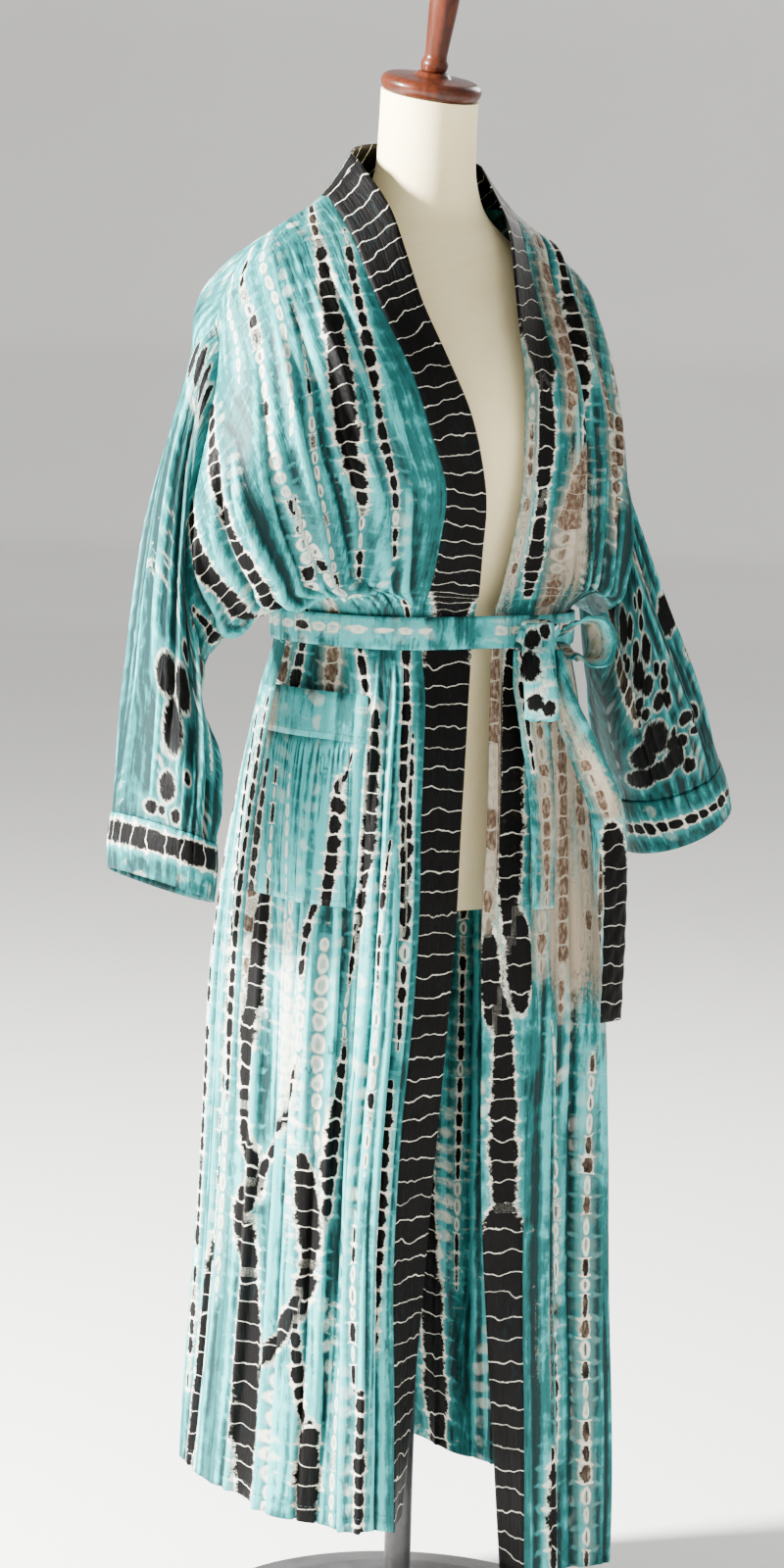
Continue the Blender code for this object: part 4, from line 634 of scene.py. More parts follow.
# Lights: turn from the camera's side, distance, height, size and power
LIGHTS = (
    ("light_key", math.radians(-70.0), 3.2, 2.4, 0.6, 1600.0),
    ("light_fill", math.radians(35.0), 3.4, 1.8, 2.0, 20.0),
    ("light_back", math.radians(150.0), 3.0, 2.8, 1.4, 70.0),
)
LIGHT_COLOUR = (1.0, 0.98, 0.95)


def table(columns, rows):
    """Turn rows under named columns into one array for each column. A short row leaves off its last columns."""
    full = [list(row) + [DEFAULTS[name] for name in columns[len(row):]] for row in rows]
    values = np.array(full, dtype=float).reshape(-1, len(columns))
    return {name: values[:, i] / (1 if name in AS_WRITTEN else 1000) for i, name in enumerate(columns)}


def points(rows):
    """First three columns of rows as points in metres."""
    return np.array([row[:3] for row in rows]) / 1000


def skin(knots, curves, at):
    """Smooth curve through rows of points: curves[k] belongs to knots[k], read at the lengths in "at"."""
    knots = np.asarray(knots, dtype=float)
    curves = np.asarray(curves, dtype=float)
    at = np.atleast_1d(np.asarray(at, dtype=float))
    steps = np.diff(knots)
    shape = (-1,) + (1,) * (curves.ndim - 1)
    chords = np.diff(curves, axis=0) / steps.reshape(shape)
    slopes = np.empty_like(curves)
    weight = (steps[:-1] / (steps[:-1] + steps[1:])).reshape(shape)
    slopes[1:-1] = chords[:-1] * (1.0 - weight) + chords[1:] * weight
    slopes[0] = chords[0]
    slopes[-1] = chords[-1]
    cell = np.clip(np.searchsorted(knots, at, side="right") - 1, 0, len(steps) - 1)
    width = steps[cell].reshape(shape)
    u = ((at - knots[cell]) / steps[cell]).reshape(shape)
    low, high = curves[cell], curves[cell + 1]
    rise_low, rise_high = slopes[cell] * width, slopes[cell + 1] * width
    from_low = (2 * u**3 - 3 * u**2 + 1) * low + (u**3 - 2 * u**2 + u) * rise_low
    from_high = (-2 * u**3 + 3 * u**2) * high + (u**3 - u**2) * rise_high
    return from_low + from_high


def armhole_point(run, turn):
    """Point of a sleeve section at an angle from its top, by the front if positive, else by the back."""
    outer = np.stack([run["x_out"], np.zeros_like(run["x_out"]), run["z_out"]], axis=-1)
    inner = np.stack([run["x_in"], np.zeros_like(run["x_in"]), run["z_in"]], axis=-1)
    half_turn = np.abs(turn) / math.pi
    bow = run["bow"] * np.sin(math.pi * half_turn**1.5) ** 2 * np.where(turn < 0, BACK_BOW, 1.0)
    reach = np.where(turn < 0, run["back"], run["front"])
    point = (outer + inner) / 2 + (outer - inner) / 2 * np.cos(turn)[..., None]
    return point + np.stack([bow, -reach * np.sin(turn), 0 * bow], axis=-1)


def sleeve_section(rows, index, turn):
    """Whole section of a sleeve row at the given turns."""
    values = table(SLEEVE_COLUMNS, rows)
    run = {name: np.full(turn.shape, values[name][index]) for name in SLEEVE_COLUMNS}
    return armhole_point(run, turn)


def side_rows(front, sleeve, back_side):
    """Outer edge of a body panel at each row of DOWN: on the armhole, then on the side seam."""
    values = table(FRONT_COLUMNS, front)
    sign = -1.0 if back_side else 1.0
    turn = np.radians(values["turn"]) * sign
    on_armhole = sleeve_section(sleeve, 0, turn)
    on_seam = np.stack([values["x_side"], values["y_side"], values["z_side"]], axis=-1)
    below = (np.arange(len(DOWN)) > UNDERARM_ROW)[:, None]
    return np.where(below, on_seam, on_armhole)


def shoulder_line(neck, arm, across):
    """Seam over the shoulder: straight from the neck and then rounding down to the arm."""
    across = across[:, None]
    line = neck + (arm - neck) * across
    crest = SHOULDER_CREST * (across * 1.35) * np.clip(1.0 - across**5, 0.0, 1.0)
    return line + np.array([0.0, 0.0, 1.0]) * crest


def across_section(inner, outer, across, roundness, sag):
    """Quarter of a rounded ring from the inner point (0) to the outer point (1)."""
    angle = across * math.pi / 2
    x = inner[0] + (outer[0] - inner[0]) * np.sin(angle) ** roundness
    y = outer[1] + (inner[1] - outer[1]) * np.cos(angle) ** roundness
    z = inner[2] + (outer[2] - inner[2]) * across**sag
    return np.stack([x, y, z], axis=-1)


def apart_across(across, middle, wrap=0.0):
    """Distance across from a middle, the short way round a closed panel."""
    apart = np.abs(across - middle)
    return np.minimum(apart, wrap - apart) if wrap else apart


def bells(rows, across, down, tight=1.0, wrap=0.0):
    """Sum of the rows' outward shifts: each is bell-shaped across and fades in and out along the cloth."""
    shift = np.zeros(np.broadcast(across, down).shape)
    for middle, depth, reach, start, end, drift in zip(*table(FOLD_COLUMNS, rows).values()):
        along = (down - start) / (end - start)
        apart = apart_across(across, middle + drift * along, wrap)
        grow = np.clip(along / FOLD_FADE, 0.0, 1.0)
        fade = np.clip((1.0 - along) / FOLD_FADE, 0.0, 1.0)
        strength = grow * grow * (3 - 2 * grow) * fade * fade * (3 - 2 * fade)
        shift = shift + depth * np.exp(-((apart / (reach * tight)) ** 2)) * strength
    return shift


def normals_of(grid):
    """Unit normals of a grid of points, right-handed from its columns to its rows."""
    normal = np.cross(np.gradient(grid, axis=1), np.gradient(grid, axis=0))
    return normal / np.maximum(np.linalg.norm(normal, axis=-1, keepdims=True), 1e-12)


def raised(grid, amount):
    """Grid moved along its normals."""
    return grid + normals_of(grid) * amount[..., None]


def front_base(front, sleeve, across, down):
    """Smooth front panel before its folds, as a grid of rows down and columns across."""
    values = table(FRONT_COLUMNS, front)
    outer = side_rows(front, sleeve, False)
    curves = []
    for k in range(len(DOWN)):
        inner = np.array([values["x_band"][k], values["y_band"][k], values["z_band"][k]])
        if k == 0:
            curves.append(shoulder_line(inner, outer[k], across))
        else:
            curves.append(across_section(inner, outer[k], across, values["round"][k], values["sag"][k]))
    return skin(DOWN, curves, down)


def front_panel(side, across, down):
    """Front panel with its folds, side -1 for the wearer's right and +1 for the left."""
    front, sleeve, folds = ((FRONT_RIGHT, SLEEVE_RIGHT, FOLDS_RIGHT) if side < 0
                            else (FRONT_LEFT, SLEEVE_LEFT, FOLDS_LEFT))
    grid = front_base(front, sleeve, across, down)
    return raised(grid, bells(folds, across[None, :], down[:, None]) * edge_hold(across, down) * -side)


def belt_hold(down):
    """0 under the belt, growing to 1 above and below it."""
    middle = (DOWN[BELT_TOP_ROW] + DOWN[BELT_LOW_ROW]) / 2
    return np.clip(np.abs(down - middle) / HOLD_BELT - HOLD_BELT_FREE, 0.0, 1.0)[:, None]


def edge_hold(across, down):
    """Keeps folds away from a panel's seams: 0 on the inner and outer edge and at the belt, 1 between."""
    inside = np.clip(np.minimum(np.abs(across), 1.0 - np.abs(across)) / HOLD_EDGE, 0.0, 1.0)[None, :]
    top = np.clip(down / HOLD_FRONT_TOP, 0.0, 1.0)[:, None]
    return inside * top * belt_hold(down)


def back_hold(across, down):
    """Keeps the back's folds away from its side seams, its top and the belt."""
    inside = np.clip((1.0 - np.abs(across)) / HOLD_EDGE, 0.0, 1.0)[None, :]
    top = np.clip(down / HOLD_BACK_TOP, 0.0, 1.0)[:, None]
    return inside * top * belt_hold(down)


def neck_curve(across):
    """Back neck seam from the right shoulder's neck point (-NECK_SHARE) to the left one (+NECK_SHARE)."""
    right, left = points(FRONT_RIGHT)[0], points(FRONT_LEFT)[0]
    back = table(BACK_COLUMNS, BACK)
    middle = np.array([(right[0] + left[0]) / 2, back["y_middle"][0], back["z_middle"][0]])
    angle = across / NECK_SHARE * math.pi / 2
    side = np.where(across[:, None] < 0, right, left)
    bend = np.abs(np.sin(angle))[:, None]
    x = middle[0] + (side[:, 0:1] - middle[0]) * bend
    y = side[:, 1:2] + (middle[1] - side[:, 1:2]) * np.cos(angle)[:, None]
    z = middle[2] + (side[:, 2:3] - middle[2]) * bend**2
    return np.concatenate([x, y, z], axis=1)


def back_top(across, arm_right, arm_left):
    """Top edge of the back: shoulder seam, neck curve, shoulder seam."""
    out = np.clip((np.abs(across) - NECK_SHARE) / (1.0 - NECK_SHARE), 0.0, 1.0)
    right = shoulder_line(points(FRONT_RIGHT)[0], arm_right, out)
    left = shoulder_line(points(FRONT_LEFT)[0], arm_left, out)
    seam = np.where(across[:, None] < 0, right, left)
    return np.where(np.abs(across)[:, None] < NECK_SHARE, neck_curve(across), seam)


def back_panel(across, down):
    """Back panel, across from -1 at the right side seam to +1 at the left one."""
    values = table(BACK_COLUMNS, BACK)
    right = side_rows(FRONT_RIGHT, SLEEVE_RIGHT, True)
    left = side_rows(FRONT_LEFT, SLEEVE_LEFT, True)
    curves = [back_top(across, right[0], left[0])]
    for k in range(1, len(DOWN)):
        middle_x = (right[k][0] + left[k][0]) / 2
        inner = np.array([middle_x, values["y_middle"][k], values["z_middle"][k]])
        on_right = across_section(inner, right[k], np.abs(across), values["round"][k], values["sag"][k])
        on_left = across_section(inner, left[k], np.abs(across), values["round"][k], values["sag"][k])
        curves.append(np.where(across[:, None] < 0, on_right, on_left))
    grid = skin(DOWN, curves, down)
    return raised(grid, bells(FOLDS_BACK, across[None, :], down[:, None]) * back_hold(across, down))


def band_panel(side, share, down):
    """Front band between its seam with the front (share 0) and the opening edge (share 1)."""
    front, band = (FRONT_RIGHT, BAND_RIGHT) if side < 0 else (FRONT_LEFT, BAND_LEFT)
    seam, edge = skin(DOWN, points(front), down), skin(DOWN, points(band), down)
    return seam[:, None, :] + (edge - seam)[:, None, :] * share[None, :, None]


def neck_band(across, rise):
    """Band round the back of the neck, between the neck curve and an arc through the front bands' tops."""
    seam = neck_curve(across)
    right, left = points(BAND_RIGHT)[0], points(BAND_LEFT)[0]
    angle = across / NECK_SHARE * math.pi / 2
    middle_x = (right[0] + left[0]) / 2
    half_x = (left[0] - right[0]) / 2
    side_y = right[1] + (left[1] - right[1]) * (np.sin(angle) + 1.0) / 2
    x = middle_x + half_x * np.sin(angle)
    y = side_y + (NECK_BAND_BACK - side_y) * np.cos(angle)
    z = right[2] + (NECK_BAND_TOP - right[2]) * np.cos(angle)
    top = np.stack([x, y, z], axis=-1)
    return seam[None, :, :] + (top - seam)[None, :, :] * rise[:, None, None]


def sleeve_panel(side, round_share, run):
    """Sleeve tube: round_share goes from -1 to 1 over back and front, 0 at the top, run down its length."""
    front, rows = (FRONT_RIGHT, SLEEVE_RIGHT) if side < 0 else (FRONT_LEFT, SLEEVE_LEFT)
    down = np.abs(round_share) * DOWN[UNDERARM_ROW]
    turns = np.radians(table(FRONT_COLUMNS, front)["turn"][:UNDERARM_ROW + 1])
    turn = skin(DOWN[:UNDERARM_ROW + 1], turns, down) * np.sign(round_share)
    by_front = skin(DOWN, side_rows(front, rows, False), down)
    by_back = skin(DOWN, side_rows(front, rows, True), down)
    armhole = np.where(round_share[:, None] < 0, by_back, by_front)
    curves = [armhole]
    for k in range(1, len(rows)):
        curves.append(sleeve_section(rows, k, turn))
    runs = table(SLEEVE_COLUMNS, rows)["run"]
    return skin(runs, curves, run)


def split_rows(first, last):
    """Lengths of the grid rows between two rows of DOWN, each stretch cut as ROW_SPLITS says."""
    lengths = [DOWN[first]]
    for k in range(first, last):
        for part in range(1, ROW_SPLITS[k] + 1):
            lengths.append(DOWN[k] + (DOWN[k + 1] - DOWN[k]) * part / ROW_SPLITS[k])
    return np.array(lengths)


def panel_rows():
    """Lengths of all the part's grid rows of a body panel, the first a little below the shoulder seam."""
    down = split_rows(0, len(DOWN) - 1)
    down[0] += SEAM_GAP / 2
    return down


def grid_field(values, shape):
    """Spread a row or column of values over a whole grid."""
    return np.broadcast_to(np.asarray(values, dtype=float), shape)


def arc_across(grid, start=0.0):
    """Width coordinate in metres: the summed distance between neighbours along each grid row."""
    steps = np.linalg.norm(np.diff(grid, axis=1), axis=2)
    return start + np.concatenate([np.zeros((len(grid), 1)), np.cumsum(steps, axis=1)], axis=1)


def worked(grid, across, down, creases, sign, hold, deeper=1.0, wrap=0.0, unit=1.0):
    """Panel with its creases and crinkle, its width coordinate in metres, and its places across and down."""
    looks = bpy.context.scene.duster_cloth
    metres, spread, length = spread_over(grid, across, down)
    shift = bells(creases, spread, length, CREASE_TIGHT, wrap) * hold
    grid = raised(grid, shift * (sign * looks.crease_depth * deeper))
    relief = crinkle_shift(metres, length * unit, looks.crinkle_depth) * hold
    return raised(grid, relief * sign), metres, spread, length


def spread_over(grid, across, down):
    """Width coordinate of a grid in metres, and its places across and down as whole fields."""
    shape = grid.shape[:2]
    return arc_across(grid), grid_field(across[None, :], shape), grid_field(down[:, None], shape)


def crinkle_shift(across_m, down_m, depth):
    """Small uneven relief of crinkled cloth: three trains of ridges along the cloth whose spacing wanders."""
    drift = 0.0040 * np.sin(down_m * 23.0 + 1.3) + 0.0024 * np.sin(down_m * 61.0 + across_m * 40.0)
    first = np.sin((across_m + drift) * 520.0 + 2.0 * np.sin(down_m * 17.0))
    second = np.sin((across_m - drift) * 840.0 + 2.6 * np.sin(down_m * 29.0 + across_m * 30.0))
    swell = 0.5 + 0.5 * np.sin(across_m * 70.0 + down_m * 31.0) * np.sin(down_m * 43.0 - across_m * 21.0)
    return depth * (0.6 * first + 0.4 * second) * swell


def mean_across(values, near):
    """Mean of each grid point and its neighbours across, up to a number of columns away."""
    columns = np.arange(values.shape[1])
    total = np.zeros_like(values)
    for step in range(-near, near + 1):
        total = total + values[:, np.clip(columns + step, 0, len(columns) - 1)]
    return total / (2 * near + 1)


def fold_painted_shade(grid, sign):
    """How far each point stands proud of the mean of its neighbours across, less what the panel's own roundness
    gives, as a share from -1 in a valley to 1 on a ridge: painted shade for the fold valleys, painted light for the
    ridges."""
    proud = np.sum((grid - mean_across(grid, FOLD_NEAR)) * normals_of(grid), axis=-1) * sign
    return np.clip((proud - mean_across(proud, FOLD_WIDE)) / FOLD_PROUD, -1.0, 1.0)


def flower_spots(flowers):
    """Spots round the middles of tied flowers: each one is a ring of petals, turned and sized unevenly."""
    spots = []
    for across, down, petals, reach, half, turn in flowers:
        angle = turn + 2 * math.pi * np.arange(petals) / petals
        size = half * (1.0 + 0.25 * np.sin(2.0 * angle + turn * 3.0))
        places = np.stack([across + FLOWER_WIDE * reach * np.cos(angle) / SLEEVE_HALF_GIRTH,
                           down + reach * np.sin(angle) / SLEEVE_LENGTH,
                           size, size * FLOWER_LOW, np.ones(petals), np.zeros(petals)], axis=1)
        spots.extend(tuple(row) for row in places)
    return tuple(spots)


def dye_fields(rows, spots, ground, across, down, width, wrap=0.0, unit=1.0):
    """Three vectors for every grid point: place = (distance to the nearest row in metres, how many cells along
    it, its half width), dye = (ink, brown, strength of the halo) and ground = (light, white, cream). The lengths
    down the cloth are in the unit given in metres."""
    best = np.full(across.shape, 1e9)
    kept = [np.full(across.shape, start) for start in (0.20, 0.0, 0.003, 0.0, 0.0, 1.0)]

    def nearest(apart, half, phase, ink, brown, halo):
        """Keep what a row or spot says wherever its edge is the nearest so far."""
        nonlocal best, kept
        nearer = apart - half < best
        best = np.where(nearer, apart - half, best)
        kept = [np.where(nearer, new, old) for new, old in zip((apart, phase, half, ink, brown, halo), kept)]

    for i, row in enumerate(zip(*table(ROW_COLUMNS, rows).values())):
        top, low, bend, half, start, end, cell, ink, brown = row
        long = end - start
        along = (down - start) / long
        inside = np.clip(along, 0.0, 1.0)
        middle = top + (low - top) * inside + bend * np.sin(math.pi * inside)
        close = np.minimum(along, 1.0 - along) * long * unit / ROW_TAPER
        taper = ROW_TIP + (1.0 - ROW_TIP) * np.clip(close, 0.0, 1.0) ** 0.6
        beyond = np.maximum(np.maximum(-along, along - 1.0), 0.0) * long * unit
        apart = np.hypot(apart_across(across, middle, wrap) * width, beyond)
        nearest(apart, half * taper, down * unit / cell + i * ROW_APART, ink, brown, 1.0)
    spot = table(SPOT_COLUMNS, spots)
    if spots:
        wide, long = float(np.mean(width)), float(np.mean(unit))
        stretch = spot["half"] / spot["length"]
        aside = (spot["across"][:, None] - spot["across"]) * wide
        below = (spot["down"][:, None] - spot["down"]) * long * 0.5 * (stretch[:, None] + stretch)
        room = np.hypot(aside, below) - SPOT_GAP
        share = spot["half"][:, None] / (spot["half"][:, None] + spot["half"])
        limit = np.where(np.eye(len(spots)) > 0, 1.0, room * share).min(axis=1)
        shrink = np.clip(limit / spot["half"], 0.25, 1.0)
        spot["length"] = spot["length"] * shrink
        spot["half"] = spot["half"] * shrink
    for middle, place, half, long, ink, brown in zip(*spot.values()):
        lengthwise = (down - place) * unit * half / long
        apart = np.hypot(apart_across(across, middle, wrap) * width, lengthwise)
        nearest(apart, half, 0.5, ink, brown, SPOT_HALO)
    cover = np.zeros(across.shape + (3,))
    for middle, place, wide, long, *amount in zip(*table(GROUND_COLUMNS, ground).values()):
        spread = (apart_across(across, middle, wrap) / wide) ** 2 + ((down - place) / long) ** 2
        cover = cover + np.exp(-spread)[..., None] * np.array(amount)
    distance, phase, half, ink, brown, halo = kept
    return {
        "row_place": np.stack([distance, phase, half], axis=-1),
        "row_dye": np.stack([ink, brown, halo], axis=-1),
        "ground": np.clip(cover, -1.0, 1.0),
    }


def panel_mesh(name, grid, across_m, down_m, fields, flip=False, closed=False):
    """Mesh of quads over a grid of points, with a UV map in metres and the dye's attributes. A closed panel
    joins its last column to its first, and its UV map runs on over that join."""
    rows, columns = grid.shape[:2]
    index = np.arange(rows * columns).reshape(rows, columns)
    place = np.stack([across_m, -down_m], axis=-1)
    if closed:
        last = place[:, -1:] + (place[:, -1:] - place[:, -2:-1])
        index = np.concatenate([index, index[:, :1]], axis=1)
        place = np.concatenate([place, last], axis=1)
    corners = [(slice(None, -1), slice(None, -1)), (slice(None, -1), slice(1, None)),
               (slice(1, None), slice(1, None)), (slice(1, None), slice(None, -1))]
    if flip:
        corners = corners[::-1]
    faces = np.stack([index[corner] for corner in corners], axis=-1).reshape(-1, 4)
    uvs = np.stack([place[corner] for corner in corners], axis=-2).reshape(-1, 2)
    mesh = bpy.data.meshes.new(name)
    mesh.from_pydata(grid.reshape(-1, 3).tolist(), [], faces.tolist())
    layer = mesh.uv_layers.new(name="cloth")
    layer.uv.foreach_set("vector", uvs.astype(np.float32).ravel())
    for key, values in fields.items():
        attribute = mesh.attributes.new(key, "FLOAT_VECTOR", "POINT")
        attribute.data.foreach_set("vector", values.reshape(-1, 3).astype(np.float32).ravel())
    mesh.update()
    mesh.shade_smooth()
    return mesh


def add_piece(name, mesh, material, nodes):
    """Link a finished mesh as one piece that stands for its CAD nodes and rides with the body."""
    mesh.materials.append(material)
    piece = bpy.data.objects.new(name, mesh)
    bpy.context.scene.collection.objects.link(piece)
    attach(piece, "root")
    if nodes:
        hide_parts(*nodes)
    return piece


def add_wall(piece, thickness, offset):
    """Give a sheet its thickness, with a closed rim."""
    wall = piece.modifiers.new("Cloth", "SOLIDIFY")
    wall.thickness = thickness
    wall.offset = offset
    return piece


def cloth_piece(node, grid, across_m, down_m, fields, tint, flip=False, closed=False,
                thickness=None, offset=1.0, flat=None):
    """One panel of cloth as a thin sheet that stands for its node."""
    looks = bpy.context.scene.duster_cloth
    # Painted shade in the fold valleys and painted light on the fold ridges, added to the ground's light channel
    if grid.shape[1] > FOLD_COLUMNS_LEAST:
        fields["ground"][..., 0] += FOLD_PAINTED_SHADE * fold_painted_shade(grid, -1.0 if flip else 1.0)
    mesh = panel_mesh("cloth_" + node, grid, across_m, down_m, fields, flip, closed)
    piece = add_piece("cloth_" + node, mesh, cloth_material(tint), [node])
    add_wall(piece, thickness or looks.thickness, offset)
    width, length = flat or (float(arc_across(grid)[:, -1].max()),
                             float(arc_across(grid.transpose(1, 0, 2))[:, -1].max()))
    return piece


def pocket_frame(side):
    """Where a pocket lies on its front: its first and last share across, and its top, seam and bottom down."""
    first, last, *rows = POCKET_RIGHT if side < 0 else POCKET_LEFT
    shares = np.linspace(0.0, 1.0, FRONT_CELLS + 1)
    return (shares[first], shares[last], *panel_rows()[rows])


def pocket_lift(side, u, v):
    """Height of a pocket over its front: a soft swell over all of it and, on the left, the mouth's gape."""
    swell = POCKET_SWELL * np.sin(math.pi * u) * np.sin(math.pi * (0.15 + 0.80 * v))
    gape = POCKET_LEFT_GAPE if side > 0 else 0.0
    mouth = gape * np.sin(math.pi * u) ** 2 * np.clip(1.0 - v * 1.15, 0.0, 1.0)
    return POCKET_LIFT + np.maximum(swell, 0.0) + mouth


def pocket_calm(side, spread, length):
    """How much of the creases is left: less under a pocket, whose second layer of cloth holds the front flat."""
    first, last, top, _, bottom = pocket_frame(side)
    aside = np.minimum(spread - first, last - spread) / 0.05
    below = np.minimum(length - top, bottom - length) / 0.03
    return 1.0 - POCKET_CALM * np.clip(0.5 + aside, 0.0, 1.0) * np.clip(0.5 + below, 0.0, 1.0)


def front_across(side, across, down):
    """Fine front panel with its folds, creases and crinkle, its width coordinate and its places."""
    creases, deeper = (CREASES_RIGHT, RIGHT_DEEPER) if side < 0 else (CREASES_LEFT, 1.0)
    hold = edge_hold(across, down) * pocket_calm(side, across[None, :], down[:, None])
    return worked(front_panel(side, across, down), across, down, creases, -side, hold, deeper)


def back_across(across, down):
    """The same for the back."""
    return worked(back_panel(across, down), across, down, CREASES_BACK, 1, back_hold(across, down))


def hem_wave(grid, across_m, down, amount):
    """Uneven hem: the last rows rise and fall a little, as sines of the width coordinate."""
    low = np.clip((down - (DOWN[-1] - 0.20)) / 0.20, 0.0, 1.0) ** 2
    lift = amount * (0.6 * np.sin(across_m * 34.0 + 0.6) + 0.4 * np.sin(across_m * 71.0))
    return grid + np.stack([0 * lift, 0 * lift, lift * low], axis=-1)


def down_lengths(first, last):
    """Even lengths down the cloth, about one cell of the fine grid apart."""
    count = max(2, int(round((last - first) / DOWN_CELL)))
    return np.linspace(first, last, count + 1)


def body_pieces():
    """Back and both fronts: the part's panels on fine grids."""
    down = down_lengths(DOWN[0], DOWN[-1])
    for side, node, rows, ground in ((-1, "front_right", ROWS_FRONT_RIGHT, GROUND_FRONT_RIGHT),
                                     (1, "front_left", ROWS_FRONT_LEFT, GROUND_FRONT_LEFT)):
        across = np.linspace(0.0, 1.0, FRONT_FINE + 1)
        grid, metres, spread, length = front_across(side, across, down)
        width = grid_field(metres[:, -1:], spread.shape)
        fields = dye_fields(rows, (), ground, spread, length, width)
        grid = hem_wave(grid, metres, length, HEM_WAVE)
        cloth_piece(node, grid, metres, length, fields, "body", flip=side > 0)
    grid, metres, spread, length = back_across(np.linspace(-1.0, 1.0, BACK_FINE + 1), down)
    width = grid_field(metres[:, -1:] / 2, spread.shape)
    fields = dye_fields(ROWS_BACK, (), GROUND_BACK, spread, length, width)
    grid = hem_wave(grid, metres, length, HEM_WAVE)
    cloth_piece("back", grid, metres, length, fields, "body")


def band_pieces():
    """Front bands and neck band: flat strips between their seam and their opening edge."""
    down = down_lengths(DOWN[0], DOWN[-1])
    share = np.linspace(0.0, 1.0, BAND_FINE + 1)
    for side, node, rows, ground in ((-1, "band_right", ROWS_BAND_RIGHT, GROUND_BAND_RIGHT),
                                     (1, "band_left", ROWS_BAND_LEFT, GROUND_BAND_LEFT)):
        grid = band_panel(side, share, down)
        metres, spread, length = spread_over(grid, share, down)
        crown = BAND_CROWN * np.sin(math.pi * spread) ** 2
        waves = np.sin(length * 47.0) + 0.6 * np.sin(length * 113.0)
        ripple = BAND_RIPPLE * np.sin(math.pi * spread) * waves
        hold = belt_hold(down)
        grid = raised(grid, (crown + ripple) * hold * -side)
        width = grid_field(metres[:, -1:], spread.shape)
        fields = dye_fields(rows, (), ground, spread, length, width)
        cloth_piece(node, grid, metres, length, fields, "band",
                    flip=side > 0, thickness=BAND_THICKNESS, offset=0.0)
    across = np.linspace(-NECK_SHARE, NECK_SHARE, NECK_FINE + 1)
    rise = np.linspace(0.0, 1.0, BAND_FINE + 1)
    grid = neck_band(across, rise)
    crown = BAND_CROWN * np.sin(math.pi * rise[:, None]) ** 2 * np.ones(len(across))
    grid = raised(grid, crown)
    metres = arc_across(grid)
    height = grid_field(rise[:, None] * NECK_BAND_HEIGHT, grid.shape[:2])
    spread = grid_field(rise[:, None], grid.shape[:2])
    wide = grid_field(NECK_BAND_HEIGHT, grid.shape[:2])
    fields = dye_fields(ROWS_BAND_NECK, (), GROUND_BAND_RIGHT, spread, metres, wide)
    cloth_piece("band_neck", grid, metres, height, fields, "band",
                thickness=BAND_THICKNESS, offset=0.0)


def sleeve_grid(side, ring, runs):
    """Fine sleeve tube with its creases and crinkle."""
    creases = CREASES_SLEEVE_RIGHT if side < 0 else CREASES_SLEEVE_LEFT
    start = np.clip(runs / SLEEVE_HOLD, 0.0, 1.0)[:, None]
    under = np.clip((1.0 - np.abs(ring)) / 0.08, 0.25, 1.0)[None, :]
    grid = sleeve_panel(side, ring, runs)
    return worked(grid, ring, runs, creases, side, start * under, wrap=2.0, unit=SLEEVE_LENGTH)


def sleeve_pieces():
    """Sleeves and their turned-back cuffs: closed tubes round the arm."""
    ring = np.linspace(-1.0, 1.0, RING_FINE + 1)[:-1]
    flowers = flower_spots(FLOWERS_SLEEVE_LEFT)
    for side, name, rows, spots, ground, sections in (
            (-1, "right", ROWS_SLEEVE_RIGHT, SPOTS_SLEEVE_RIGHT, GROUND_SLEEVE_RIGHT, SLEEVE_RIGHT),
            (1, "left", ROWS_SLEEVE_LEFT, SPOTS_SLEEVE_LEFT + flowers, GROUND_SLEEVE_LEFT, SLEEVE_LEFT)):
        knots = table(SLEEVE_COLUMNS, sections)["run"]
        runs = np.linspace(knots[0], knots[-2], SLEEVE_FINE + 1)
        grid, metres, spread, length = sleeve_grid(side, ring, runs)
        width = grid_field(metres[:, -1:] / 2, spread.shape)
        steps = np.linalg.norm(np.diff(grid, axis=0), axis=2).sum(axis=0)
        unit = (steps / (runs[-1] - runs[0]))[None, :]
        fields = dye_fields(rows, spots, ground, spread, length, width, wrap=2.0, unit=unit)
        metres = metres - metres[:, RING_FINE // 2:RING_FINE // 2 + 1]
        girth = float(np.ptp(metres[int(SLEEVE_FINE * SLEEVE_CAP)]))
        cloth_piece("sleeve_" + name, grid, metres, length * unit, fields, "body",
                    flip=side < 0, closed=True, offset=-1.0,
                    flat=(girth, float(steps.max())))
        runs = np.linspace(knots[-2], knots[-1], CUFF_FINE + 1)
        grid, metres, spread, length = sleeve_grid(side, ring, runs)
        share = (runs - runs[0]) / (runs[-1] - runs[0])
        flare = CUFF_FLARE * np.sin(math.pi * np.clip(share * 0.9 + 0.05, 0.0, 1.0))
        grid = raised(grid, flare[:, None] * side * np.ones(len(ring)))
        width = grid_field(metres[:, -1:] / 2, spread.shape)
        high = grid_field((runs - runs[0])[:, None] * CUFF_LENGTH / (runs[-1] - runs[0]), spread.shape)
        fields = cuff_fields(side, metres, high)
        cloth_piece("cuff_" + name, grid, metres, high, fields, "cuff",
                    flip=side < 0, closed=True, thickness=CUFF_THICKNESS, offset=0.0)


def cuff_fields(side, around, high):
    """Rows that run round a cuff: the width coordinate is the distance down it, the length goes round."""
    places = CUFF_ROWS_RIGHT if side < 0 else CUFF_ROWS_LEFT
    rows = tuple((place, place, 0, half, -1000, 2000, cell, ink, brown)
                 for place, half, cell, ink, brown in places)
    return dye_fields(rows, (), GROUND_CUFF, high, around, np.ones(high.shape))


